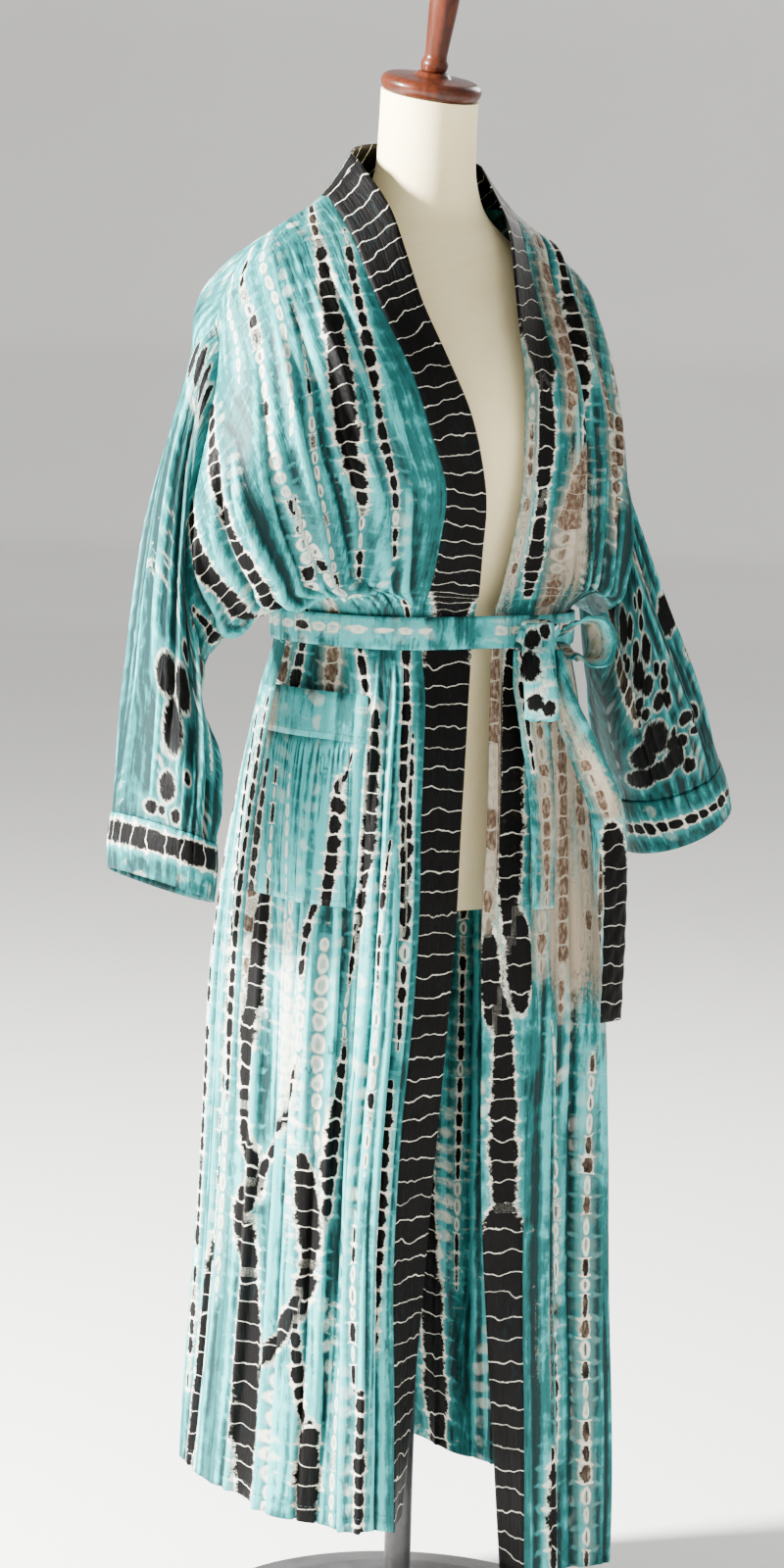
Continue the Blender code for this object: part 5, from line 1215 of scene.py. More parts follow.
def pocket_pieces():
    """Patch pockets: the front's own surface moved out, with gathers below a plain top band."""
    for side, name, rows, ground in ((-1, "right", ROWS_POCKET_RIGHT, GROUND_POCKET_RIGHT),
                                     (1, "left", ROWS_POCKET_LEFT, GROUND_POCKET_LEFT)):
        left, right, top, seam, bottom = pocket_frame(side)
        across = np.linspace(left, right - POCKET_SIDE_TRIM, POCKET_FINE + 1)
        u = np.linspace(0.0, 1.0, POCKET_FINE + 1)[None, :]
        for part, tint, first, last in (("_band", "pale", top, seam), ("", "pocket", seam, bottom)):
            down = down_lengths(first, last)
            base, metres, spread, length = front_across(side, across, down)
            below = np.clip((down - seam) / 0.004, 0.0, 1.0)[:, None]
            fade = np.exp(-np.maximum(down - seam, 0.0) / GATHER_LENGTH)[:, None] * below
            sides = np.clip(np.minimum(u, 1.0 - u) / 0.08, 0.0, 1.0)
            gather = GATHER_DEPTH * fade * np.sin(2 * math.pi * GATHERS * u + 2.2 * np.sin(9.0 * u)) * sides
            lift = pocket_lift(side, u, ((down - top) / (bottom - top))[:, None])
            lift = lift + np.abs(gather) + POCKET_BAND_LIFT * (1 - below)
            wide = grid_field(metres[:, -1:], spread.shape) / (across[-1] - across[0])
            fields = dye_fields(rows, (), ground, spread, length, wide)
            grid = base + normals_of(base) * -side * lift[..., None]
            cloth_piece("pocket_" + name + part, grid, metres, length, fields, tint,
                        flip=side > 0)


def belt_grid(heights):
    """Belt round the waist on a fine ring: out from the panels under it, with small soft wrinkles."""
    down = np.array([DOWN[BELT_TOP_ROW], DOWN[BELT_LOW_ROW]])
    across = np.linspace(0.0, 1.0, BELT_FINE + 1)
    share = np.linspace(0.0, 1.0, 9)[1:]
    right = np.concatenate([band_panel(-1, share, down)[:, ::-1], front_panel(-1, across, down)], axis=1)
    left = np.concatenate([front_panel(1, across, down)[:, ::-1], band_panel(1, share, down)], axis=1)
    spread = np.linspace(-1.0, 1.0, 2 * BELT_FINE + 1)
    back = back_panel(spread, down)
    ring = np.concatenate([right, back[:, 1:-1], left], axis=1)
    places = BELT_SPAN[0] + (BELT_SPAN[1] - BELT_SPAN[0]) * heights
    ring = ring[0][None] + (ring[1] - ring[0])[None] * places[:, None, None]
    flat = ring * np.array([1.0, 1.0, 0.0])
    tangent = np.roll(flat, -1, axis=1) - np.roll(flat, 1, axis=1)
    out = np.stack([-tangent[..., 1], tangent[..., 0], 0 * tangent[..., 0]], axis=-1)
    out /= np.linalg.norm(out, axis=-1, keepdims=True)
    out *= np.sign(np.sum(out * flat, axis=-1, keepdims=True))
    metres = arc_across(ring)
    height = heights[:, None] * BELT_WIDTH
    wrinkle = BELT_WRINKLE * np.sin(metres * 190.0 + 60.0 * height + 2.0 * np.sin(metres * 31.0))
    cushion = BELT_CROWN * np.sin(math.pi * heights)[:, None]
    return ring + out * (CLOTH + BELT_CLEAR + wrinkle + cushion)[..., None], metres


def strip_grid(rows, cup):
    """Flat strip of the belt's width along a smooth path, cupped across and with a lengthwise crease."""
    values = table(STRIP_COLUMNS, rows)
    middle = np.stack([values["x"], values["y"], values["z"]], axis=-1)
    across = np.stack([values["width_x"], values["width_y"], values["width_z"]], axis=-1)
    knots = np.concatenate([[0.0], np.cumsum(np.linalg.norm(np.diff(middle, axis=0), axis=1))])
    at = np.linspace(0.0, knots[-1], STRIP_FINE + 1)
    path = skin(knots, middle, at)
    width = skin(knots, across, at)
    along = np.gradient(path, axis=0)
    along /= np.linalg.norm(along, axis=1, keepdims=True)
    width -= along * np.sum(width * along, axis=1, keepdims=True)
    width /= np.linalg.norm(width, axis=1, keepdims=True)
    out = np.cross(along, width)
    share = np.linspace(-1.0, 1.0, STRIP_COLUMNS_FINE + 1)
    bend = cup * (1.0 - share**2)[None, :] * np.ones((len(at), 1))
    wander = 0.15 * np.sin(at * 60.0)[:, None]
    bend = bend + STRIP_CREASE * np.exp(-(((share[None, :] - wander) / 0.22) ** 2))
    bend = bend + 0.0005 * np.sin(at[:, None] * 240.0 + share[None, :] * 5.0)
    ease = np.clip(np.minimum(at, knots[-1] - at) / 0.015, 0.0, 1.0)[:, None]
    grid = path[:, None] + width[:, None] * (share * BELT_WIDTH / 2)[None, :, None]
    grid = grid + out[:, None] * (bend * ease)[..., None]
    return grid, at, share


def belt_pieces():
    """Belt round the waist, its knot, two loops, two tails and the carriers at the side seams."""
    heights = np.linspace(0.0, 1.0, BELT_ROWS + 1)
    grid, metres = belt_grid(heights)
    length = grid_field(heights[:, None] * BELT_WIDTH, metres.shape)
    spread = grid_field(heights[:, None], metres.shape)
    wide = grid_field(BELT_WIDTH, metres.shape)
    fields = dye_fields(ROWS_BELT, (), GROUND_BELT, spread, metres, wide)
    cloth_piece("belt_wrap", grid, metres, length, fields, "belt",
                closed=True, thickness=BELT_CLOTH)
    for node, rows, dye, spots, ground, tint, cup in BELT_STRIPS:
        grid, at, share = strip_grid(rows, cup)
        metres = grid_field((share + 1.0)[None, :] * BELT_WIDTH / 2, grid.shape[:2])
        length = grid_field(at[:, None], grid.shape[:2])
        spread = metres / BELT_WIDTH
        wide = grid_field(BELT_WIDTH, grid.shape[:2])
        fields = dye_fields(dye, spots, ground, spread, length, wide)
        cloth_piece(node, grid, metres, length, fields, tint, thickness=BELT_CLOTH,
                    offset=0.0)
    knot_piece()
    carrier_pieces()


def knot_piece():
    """Knot of the belt: a rounded pad whose radius swells along two wraps that cross it at a slant."""
    around = np.linspace(0.0, 2 * math.pi, KNOT_AROUND, endpoint=False)
    up = np.linspace(-math.pi / 2, math.pi / 2, KNOT_UP + 1)
    turn, rise = np.meshgrid(around, up)
    power = KNOT_SQUARE
    x = np.sign(np.cos(turn)) * np.abs(np.cos(turn)) ** power * np.cos(rise) ** power
    y = np.sign(np.sin(turn)) * np.abs(np.sin(turn)) ** power * np.cos(rise) ** power
    z = np.sign(np.sin(rise)) * np.abs(np.sin(rise)) ** power
    slant = x * 0.8 + z * 0.6
    wraps = KNOT_WRAP * np.cos(slant * 7.0) * np.cos(rise) + KNOT_WRAP * 0.5 * np.sin(z * 9.0 - x * 6.0)
    size = np.array(KNOT_SIZE) / 2 - KNOT_WRAP
    swell = 1.0 + wraps / size.min() * np.cos(rise) ** 0.5
    grid = np.stack([x, y, z], axis=-1) * size * np.minimum(swell, 1.12)[..., None] + np.array(KNOT_PLACE)
    metres = turn * KNOT_SIZE[0] / 2
    length = (rise + math.pi / 2) * KNOT_SIZE[2] / 2
    fields = dye_fields(ROWS_KNOT, (), GROUND_PALE, turn / (2 * math.pi), length, np.full(turn.shape, 0.1))
    mesh = panel_mesh("cloth_belt_knot", grid, metres, length, fields, False, True)
    finish_mesh(mesh, True)
    add_piece("cloth_belt_knot", mesh, cloth_material("belt"), ["belt_knot"])


def finish_mesh(mesh, poles=False):
    """Merge the points that a surface's first and last rows share, or close a tube's open ends, and turn the
    faces outwards."""
    work = bmesh.new()
    work.from_mesh(mesh)
    if poles:
        bmesh.ops.remove_doubles(work, verts=work.verts, dist=POLE_MERGE)
    else:
        bmesh.ops.holes_fill(work, edges=[edge for edge in work.edges if edge.is_boundary])
    bmesh.ops.recalc_face_normals(work, faces=work.faces)
    work.to_mesh(mesh)
    work.free()
    mesh.shade_smooth()


def tube_grid(path, radius, sides):
    """Round tube along a path: circles in the plane square to the path, of one radius or one for each."""
    path = np.asarray(path, dtype=float)
    along = np.gradient(path, axis=0)
    along /= np.linalg.norm(along, axis=1, keepdims=True)
    side = np.cross(along, np.array([0.31, 0.85, 0.42]))
    side /= np.linalg.norm(side, axis=1, keepdims=True)
    other = np.cross(along, side)
    turn = np.linspace(0.0, 2 * math.pi, sides, endpoint=False)
    radius = np.broadcast_to(radius, (len(path),))[:, None, None]
    ring = side[:, None] * np.cos(turn)[None, :, None] + other[:, None] * np.sin(turn)[None, :, None]
    return path[:, None] + ring * radius


def carrier_pieces():
    """Thread loops at the side seams: a thin twisted tube out over the belt and back to the cloth."""
    seams = (("belt_carrier_right", side_rows(FRONT_RIGHT, SLEEVE_RIGHT, False), -1.0),
             ("belt_carrier_left", side_rows(FRONT_LEFT, SLEEVE_LEFT, False), 1.0))
    for node, rows, side in seams:
        top, low = rows[BELT_TOP_ROW], rows[BELT_LOW_ROW]
        x, y, z = top + (low - top) * sum(BELT_SPAN) / 2
        clear = CLOTH + BELT_CLEAR + BELT_CLOTH + CARRIER_RADIUS + LAY_GAP
        near = CLOTH + CARRIER_RADIUS + LAY_GAP
        share = np.linspace(-1.0, 1.0, CARRIER_FINE + 1)
        reach = near + (clear + CARRIER_BOW - near) * np.clip((1.0 - share**8) * 1.2, 0.0, 1.0)
        path = np.stack([x + side * reach, np.full(share.shape, y), z + share * CARRIER_HALF], axis=-1)
        pinch = CARRIER_RADIUS * (0.90 + 0.10 * np.sin(share * 60.0))
        pinch[[0, -1]] = CARRIER_RADIUS * 0.02
        grid = tube_grid(path, pinch, 10)
        metres = arc_across(grid)
        length = grid_field((share[:, None] + 1.0) * CARRIER_HALF, metres.shape)
        mesh = panel_mesh("thread_" + node, grid, metres, length, {}, False, True)
        finish_mesh(mesh)
        add_piece("thread_" + node, mesh, thread_material("thread_loop", THREAD_TEAL), [node])


class Nodes:
    """Short hand for placing shader nodes: each call adds one node, links its inputs and gives its output."""

    def __init__(self, tree):
        self.tree = tree

    def put(self, sockets, **given):
        """Link an output to each named input, or set the input's value."""
        for name, value in given.items():
            socket = sockets[name.replace("_", " ")]
            if isinstance(value, bpy.types.NodeSocket):
                self.tree.links.new(value, socket)
            else:
                socket.default_value = value

    def node(self, kind, values=(), **settings):
        """Node of a kind with its settings and its first inputs."""
        node = self.tree.nodes.new("ShaderNode" + kind)
        for name, value in settings.items():
            setattr(node, name, value)
        for socket, value in zip(node.inputs, values):
            self.put({"input": socket}, input=value)
        return node

    def math(self, operation, *values, clamp=False):
        return self.node("Math", values, operation=operation, use_clamp=clamp).outputs[0]

    def add(self, first, second):
        return self.math("ADD", first, second)

    def sub(self, first, second):
        return self.math("SUBTRACT", first, second)

    def mul(self, first, second, clamp=False):
        return self.math("MULTIPLY", first, second, clamp=clamp)

    def madd(self, first, by, plus):
        return self.math("MULTIPLY_ADD", first, by, plus)

    def size(self, value):
        return self.math("ABSOLUTE", value)

    def vector(self, operation, *values):
        return self.node("VectorMath", values, operation=operation).outputs[0]

    def ramp(self, value, low, high, to_low=0.0, to_high=1.0):
        """Smooth step of a value from low to high."""
        node = self.node("MapRange", interpolation_type="SMOOTHSTEP")
        self.put(node.inputs, Value=value, From_Min=low, From_Max=high, To_Min=to_low, To_Max=to_high)
        return node.outputs["Result"]

    def noise(self, vector, by, detail=3.0, rough=0.55, warp=0.0):
        """Noise from 0 to 1 on a vector that is stretched by two or three factors."""
        node = self.node("TexNoise")
        self.put(node.inputs, Vector=self.vector("MULTIPLY", vector, (*by, 1.0)[:3]), Scale=1.0, Detail=detail,
                 Roughness=rough, Distortion=warp)
        return node.outputs["Fac"]

    def swing(self, *noise):
        """The same from -1 to 1."""
        return self.madd(self.noise(*noise), 2.0, -1.0)

    def mix(self, factor, first, second):
        """Colour mix."""
        node = self.node("Mix", data_type="RGBA")
        self.put({"a": node.inputs[0], "b": node.inputs[6], "c": node.inputs[7]}, a=factor, b=first, c=second)
        return node.outputs[2]

    def random(self, value):
        """A random number from 0 to 1 for each whole value."""
        node = self.node("TexWhiteNoise", noise_dimensions="1D")
        self.put(node.inputs, W=value)
        return node.outputs["Value"]

    def parts(self, vector):
        """The three numbers of a vector."""
        return self.node("SeparateXYZ", (vector,)).outputs[:]

    def attribute(self, name):
        """Vector of one of the piece's own attributes."""
        return self.node("Attribute", attribute_name=name).outputs["Vector"]

    def cloth(self):
        """The piece's own UV map, in metres."""
        return self.node("UVMap", uv_map="cloth").outputs["UV"]

    def bump(self, height, strength):
        """Normal from a height in metres."""
        node = self.node("Bump")
        self.put(node.inputs, Strength=strength, Distance=1.0, Height=height)
        return node.outputs["Normal"]

    def group(self, tree, **inputs):
        """A shared group with its named inputs set."""
        node = self.node("Group", node_tree=tree)
        self.put(node.inputs, **inputs)
        return node.outputs


def shared_group(name, inputs, outputs, draw):
    """Shader group with named sockets, drawn the first time that it is asked for. Sockets are given as words,
    each a name with the first letter of its kind: f for a number, v for a vector, c for a colour."""
    if name in bpy.data.node_groups:
        return bpy.data.node_groups[name]
    tree = bpy.data.node_groups.new(name, "ShaderNodeTree")
    kinds = {"f": "NodeSocketFloat", "v": "NodeSocketVector", "c": "NodeSocketColor"}
    for words, way in ((inputs, "INPUT"), (outputs, "OUTPUT")):
        for word in words.split():
            tree.interface.new_socket(word[2:], in_out=way, socket_type=kinds[word[0]])
    n = Nodes(tree)
    given, out = tree.nodes.new("NodeGroupInput").outputs, tree.nodes.new("NodeGroupOutput").inputs
    n.put(out, **draw(n, *given[:-1]))
    return tree


def material_of(name, draw):
    """Material of a name, drawn the first time that it is asked for."""
    if name not in bpy.data.materials:
        material = bpy.data.materials.new(name)
        material.use_nodes = True
        n = Nodes(material.node_tree)
        n.put(n.tree.nodes["Principled BSDF"].inputs, **draw(n))
    return bpy.data.materials[name]


def draw_crinkle(n, cloth, depth):
    """Crinkled plain weave: height in metres of long fine creases, shorter puckers between them and threads,
    a mask that is 1 on the crests and a mask of thin lines along the cloth where shade is painted into the colour."""
    long_crease = n.noise(cloth, (150.0, 13.0), 3.0, 0.6, 0.4)
    ridge = n.sub(1.0, n.size(n.madd(long_crease, 2.6, -1.3)))
    pucker = n.noise(cloth, (330.0, 90.0), 3.0, 0.6, 0.8)
    threads = n.noise(cloth, (1900.0, 1900.0), 1.0)
    height = n.add(n.mul(ridge, 0.00105), n.mul(pucker, 0.00075))
    height = n.add(height, n.mul(threads, 0.00005))
    # Painted shade: thin dark lines along the cloth, standing for shade in the crinkle's creases
    lines = n.noise(cloth, (62.0, 7.0), 3.0, 0.62, 0.7)
    line = n.ramp(n.size(n.sub(lines, 0.5)), 0.0, 0.012, 1.0, 0.0)
    some = n.ramp(n.noise(cloth, (21.0, 9.0), 2.0), 0.42, 0.66)
    return {"Height": n.mul(height, depth), "Crest": n.ramp(ridge, 0.35, 0.95), "Line": n.mul(line, some)}


def draw_rows(n, cloth, place, dye):
    """Tied rows: from the distance to the nearest row, the place along it and its half width, the dark cells
    between their pale rungs, the white halo that the dye left round them and a soft paler glow beyond it. Each
    cell has its own width, from a random number read at its count along the row."""
    distance, along, half = n.parts(place)
    ink, brown, strength = n.parts(dye)
    ragged = n.swing(cloth, (420.0, 520.0), 4.0, 0.66)
    broad = n.swing(cloth, (80.0, 70.0), 2.0)
    wander = n.madd(n.noise(cloth, (34.0, 30.0), 2.0), 1.1, -0.55)
    count = n.add(n.add(along, wander), n.mul(ragged, 0.030))
    number = n.math("FLOOR", count)
    chance = n.random(number)
    other, given_cell = n.random(n.add(number, 0.37)), n.random(n.add(number, 0.71))
    from_middle = n.size(n.madd(n.math("FRACT", count), 2.0, -1.0))
    square = n.mul(from_middle, from_middle)
    wide = n.ramp(half, 0.0035, 0.0100)
    own = n.madd(chance, n.madd(wide, -0.35, 0.65), n.madd(wide, 0.22, 0.84))
    reach = n.mul(half, own)
    side = n.math("DIVIDE", distance, reach)
    waist = n.madd(square, n.madd(wide, 0.50, -0.62), 1.0)
    torn = n.swing(cloth, (190.0, 190.0), 3.0, 0.6)
    edge = n.madd(ragged, 0.30, n.madd(torn, 0.42, side))
    cells = n.ramp(n.sub(waist, edge), -0.10, 0.14)
    rung_at = n.madd(wide, 0.11, 0.83)
    rung = n.ramp(n.madd(ragged, 0.05, from_middle), rung_at, n.add(rung_at, 0.04))
    broken = n.mul(rung, n.ramp(n.madd(ragged, 0.5, other), 0.02, 0.25, 0.35, 1.0))
    dark = n.mul(cells, n.sub(1.0, broken))
    present = n.ramp(n.sub(n.madd(ragged, 0.10, ink), n.mul(given_cell, 0.86)), 0.0, 0.07)
    missing = n.sub(1.0, present)
    slit = n.mul(n.ramp(n.madd(ragged, 0.12, side), 0.18, 0.34, 1.0, 0.0),
                 n.ramp(from_middle, 0.40, 0.62, 1.0, 0.0))
    slit = n.mul(slit, n.mul(n.ramp(chance, 0.40, 0.46, 0.0, 0.85), n.ramp(ink, 0.02, 0.10)))
    inked = n.madd(slit, missing, n.mul(dark, present))
    comb = n.ramp(from_middle, 0.62, 1.0, 0.0, 0.0034)
    margin = n.add(n.madd(ragged, 0.0017, n.madd(other, 0.0015, 0.0003)), comb)
    pale = n.madd(n.sub(1.0, wide), n.mul(square, -0.0018), margin)
    past = n.sub(distance, n.add(reach, pale))
    ring = n.ramp(past, -0.0020, 0.0010, 1.0, 0.0)
    round_at = n.madd(side, side, n.mul(square, 1.25))
    bead = n.mul(n.ramp(n.madd(torn, 0.35, round_at), 0.55, 1.35, 1.0, 0.0),
                 n.ramp(n.madd(ragged, 0.20, round_at), 0.05, 0.50, 0.40, 1.0))
    ring = n.add(n.mul(ring, present), n.mul(bead, missing))
    far = n.madd(comb, -1.2, n.madd(broad, -0.0035, past))
    return {"Ink": n.math("MINIMUM", inked, 1.0, clamp=True), "Halo": n.mul(ring, strength, clamp=True),
            "Glow": n.mul(n.ramp(far, 0.0, 0.0085, 1.0, 0.0), strength, clamp=True),
            "Brown": n.ramp(n.madd(broad, 0.35, brown), 0.20, 0.75)}


def draw_ground(n, cloth, ground, deep, teal, light_teal, white_dye, cream_dye):
    """Dyed ground: teal that runs from deep to light in soft blotches and streaks along the cloth, faint lanes
    of pale beads that the ties left, and white and bleached patches that break up into faint rungs."""
    light, white, cream = n.parts(ground)
    blotch = n.swing(cloth, (24.0, 13.0), 5.0, 0.64, 0.8)
    streak = n.swing(cloth, (120.0, 9.0), 4.0, 0.62, 0.5)
    fine = n.swing(cloth, (330.0, 210.0), 4.0, 0.72)
    tone = n.madd(fine, 0.60, n.madd(streak, 1.55, n.madd(blotch, 1.70, light)))
    across, down = n.parts(cloth)[:2]
    sway = n.noise(cloth, (9.0, 6.0), 2.0)
    lane = n.add(n.mul(across, 27.0), n.mul(sway, 2.2))
    lane_at = n.size(n.sub(n.math("FRACT", lane), 0.5))
    shift = n.random(n.math("FLOOR", lane))
    bead = n.math("FRACT", n.madd(down, 52.0, n.madd(sway, 3.0, shift)))
    bead_at = n.size(n.sub(bead, 0.5))
    oval = n.add(n.math("POWER", n.mul(lane_at, 5.2), 2.0), n.math("POWER", n.mul(bead_at, 2.9), 2.0))
    oval = n.ramp(n.madd(fine, 0.8, oval), 0.35, 1.25, 1.0, 0.0)
    shown = n.ramp(n.add(n.mul(shift, 0.5), n.madd(blotch, 0.6, n.mul(white, 0.5))), 0.34, 0.70)
    beads = n.mul(oval, shown)
    bars = n.ramp(bead_at, 0.05, 0.45, 0.22, -0.30)
    tone = n.add(tone, n.mul(bars, n.ramp(blotch, -0.30, 0.35)))
    colour = n.mix(n.ramp(tone, 0.0, -1.05), teal, deep)
    colour = n.mix(n.ramp(tone, 0.10, 1.25), colour, light_teal)
    colour = n.mix(n.mul(beads, 0.50), colour, white_dye)
    patch = n.madd(n.noise(cloth, (55.0, 190.0), 3.0, 0.5, 0.3), 1.5, -0.75)
    pale = n.madd(blotch, 0.55, n.madd(patch, 0.9, n.madd(bars, 0.5, white)))
    colour = n.mix(n.ramp(n.madd(fine, 0.35, pale), 0.35, 1.0), colour, white_dye)
    bleach = n.madd(streak, 0.60, n.madd(fine, 0.55, cream))
    return {"Colour": n.mix(n.ramp(bleach, 0.30, 0.90), colour, cream_dye)}


# Shared effects: name, inputs, outputs and what draws each
WEAVE = ("Crinkled weave", "v.Cloth f.Depth", "f.Height f.Crest f.Line", draw_crinkle)
ROWS = ("Tied rows", "v.Cloth v.Place v.Dye", "f.Ink f.Halo f.Glow f.Brown", draw_rows)
GROUND = ("Dyed ground", "v.Cloth v.Ground c.Deep c.Teal c.Light c.White c.Cream", "c.Colour", draw_ground)

def cloth_material(tint):
    """Tie-dyed crinkled cloth. The tints of GROUND_LIFT differ in their ground's depth."""
    def draw(n):
        looks = bpy.context.scene.duster_cloth
        white, cream = colour4(looks.white), colour4(looks.cream)
        light, deep = colour4(looks.light), colour4(looks.deep)
        cloth = n.cloth()
        weave = n.group(shared_group(*WEAVE), Cloth=cloth, Depth=1.0)
        ground = n.vector("ADD", n.attribute("ground"), GROUND_LIFT[tint])
        # Painted highlight: the ground is lightened on the crinkle's crests
        ground = n.vector("MULTIPLY_ADD", CREST_PAINTED_HIGHLIGHT, weave["Crest"], ground)
        base = n.group(shared_group(*GROUND), Cloth=cloth, Ground=ground, Deep=deep, Teal=colour4(looks.teal),
                       Light=light, White=white, Cream=cream)["Colour"]
        rows = n.group(shared_group(*ROWS), Cloth=cloth, Place=n.attribute("row_place"),
                       Dye=n.attribute("row_dye"))
        warm = n.mul(rows["Brown"], 0.85)
        thin = n.ramp(n.noise(cloth, (210.0, 160.0), 3.0, 0.6), 0.52, 0.85, 0.0, 0.75)
        halo = n.mix(thin, n.mix(warm, white, cream), light)
        colour = n.mix(n.mul(rows["Glow"], 0.40), base, n.mix(warm, light, cream))
        colour = n.mix(n.mul(rows["Halo"], 0.96), colour, halo)
        mottle = n.noise(cloth, (300.0, 120.0), 3.0, 0.6)
        rust = n.mix(n.ramp(mottle, 0.42, 0.72, 0.0, 0.8), colour4(looks.brown), cream)
        ink = n.mix(rows["Brown"], colour4(looks.charcoal), rust)
        colour = n.mix(rows["Ink"], colour, n.mix(n.ramp(mottle, 0.55, 0.90, 0.0, 0.22), ink, deep))
        # Painted shade: the colour is darkened along the thin crease lines
        return {"Base_Color": n.mix(n.mul(weave["Line"], 0.75), colour, CREASE_PAINTED_SHADE),
                "Roughness": n.madd(weave["Crest"], -0.12, 0.66), "Specular_IOR_Level": 0.08,
                "Coat_Weight": n.madd(rows["Ink"], -0.08, 0.08), "Coat_Roughness": 0.42, "Sheen_Weight": 0.01,
                "Sheen_Roughness": 0.40, "Normal": n.bump(weave["Height"], looks.relief)}
    return material_of("dyed_cloth_" + tint, draw)


def colour4(rgb):
    """A colour with full alpha."""
    return (rgb[0], rgb[1], rgb[2], 1.0)


def plain_material(name, colour, second, scale, roughness, bump_depth, coat=0.0, stretch=(1, 1, 1),
                   specular=0.5):
    """Finish on Object coordinates: two colours mixed by noise, with a roughness and bump from finer noise."""
    def draw(n):
        place = n.node("TexCoord").outputs["Object"]
        grain = n.noise(place, [float(k * scale) for k in stretch], 5.0, 0.6, 0.4)
        fine = n.noise(place, [float(k * scale * 7) for k in stretch], 3.0, 0.6)
        return {"Base_Color": n.mix(n.ramp(grain, 0.30, 0.72), colour, second),
                "Roughness": n.madd(fine, 0.16, roughness - 0.08), "Metallic": 0.0,
                "Specular_IOR_Level": specular, "Coat_Weight": coat, "Coat_Roughness": 0.10,
                "Normal": n.bump(n.mul(fine, bump_depth), 0.6)}
    return material_of(name, draw)


def thread_material(name, colour):
    """Sewing thread: a dull colour with a fine twist."""
    second = tuple(min(1.0, 1.6 * channel) for channel in colour[:3]) + (1.0,)
    return plain_material(name, colour, second, 900.0, 0.70, 0.00008)


def draw_jersey(n):
    """Cream knitted cover of the form: fine columns of loops with a soft mottle."""
    cloth = n.cloth()
    across, along = n.parts(cloth)[:2]
    column = n.math("SINE", n.mul(across, 4200.0))
    loop = n.math("SINE", n.madd(column, 0.8, n.mul(along, 5200.0)))
    knit = n.add(n.mul(column, 0.00006), n.mul(loop, 0.00005))
    mottle = n.noise(cloth, (30.0, 24.0), 4.0, 0.6)
    fuzz = n.noise(cloth, (700.0, 700.0), 3.0, 0.7)
    colour = n.mix(n.ramp(mottle, 0.30, 0.75), JERSEY_LIGHT, JERSEY_SHADE)
    return {"Base_Color": n.mix(n.ramp(fuzz, 0.45, 0.80, 0.0, 0.25), colour, JERSEY_DEEP),
            "Roughness": n.madd(fuzz, 0.15, 0.78), "Sheen_Weight": 0.15,
            "Normal": n.bump(n.madd(fuzz, 0.0002, knit), 0.8)}


def stitch_rows():
    """Paths of every row of stitches, with the outward direction along each."""
    near = np.array([-0.001, 0.0, 0.001])
    down = down_lengths(DOWN[0] + 0.004, DOWN[-1] - 0.002)
    hem = DOWN[-1] - HEM_STITCH + near
    paths = []
    for side in (-1, 1):
        band = band_panel(side, np.array([0.0, 0.10, 0.16]), down)
        paths.append((band[:, 1], normals_of(band)[:, 1] * -side, BAND_THICKNESS / 2))
        grid, metres, _, length = front_across(side, np.linspace(0.0, 1.0, 2 * FRONT_FINE + 1), hem)
        grid = hem_wave(grid, metres, length, HEM_WAVE)
        paths.append((grid[1], normals_of(grid)[1] * -side, CLOTH_LIFT))
    grid, metres, _, length = back_across(np.linspace(-1.0, 1.0, 2 * BACK_FINE + 1), hem)
    grid = hem_wave(grid, metres, length, HEM_WAVE)
    paths.append((grid[1], normals_of(grid)[1], CLOTH_LIFT))
    grid = neck_band(np.linspace(-NECK_SHARE, NECK_SHARE, NECK_FINE + 1), np.array([0.09, 0.12, 0.15]))
    paths.append((grid[1], normals_of(grid)[1], BAND_THICKNESS / 2 + BAND_CROWN))
    ring = np.linspace(-1.0, 1.0, 2 * RING_FINE + 1)
    for side, rows in ((-1, SLEEVE_RIGHT), (1, SLEEVE_LEFT)):
        end = table(SLEEVE_COLUMNS, rows)["run"][-2]
        grid = sleeve_grid(side, ring, end + np.array([-0.020, -0.016, -0.012]))[0]
        paths.append((grid[1], normals_of(grid)[1] * side, STITCH_LIFT))
    for side in (-1, 1):
        first, last, top, seam, bottom = pocket_frame(side)
        last = last - POCKET_SIDE_TRIM
        across = np.linspace(first, last, 2 * POCKET_FINE + 1)
        u = np.linspace(0.0, 1.0, len(across))[None, :]
        for place, over in ((seam - 0.006, POCKET_BAND_LIFT), (bottom - 0.005, 0.0)):
            grid = front_across(side, across, place + near)[0]
            lift = pocket_lift(side, u, ((place + near - top) / (bottom - top))[:, None]) + over
            out = normals_of(grid) * -side
            paths.append(((grid + out * lift[..., None])[1], out[1], CLOTH_LIFT))
        down = down_lengths(top + 0.004, bottom - 0.004)
        for place in (first + 0.02, last - 0.02):
            columns = place + 4 * near
            across = np.unique(np.concatenate([np.linspace(0.0, 1.0, FRONT_FINE + 1), columns]))
            grid = front_across(side, across, down)[0][:, np.searchsorted(across, columns)]
            out = normals_of(grid)[:, 1] * -side
            lift = pocket_lift(side, (place - first) / (last - first), (down - top) / (bottom - top))
            paths.append((grid[:, 1] + out * lift[:, None], out, CLOTH_LIFT))
    return paths


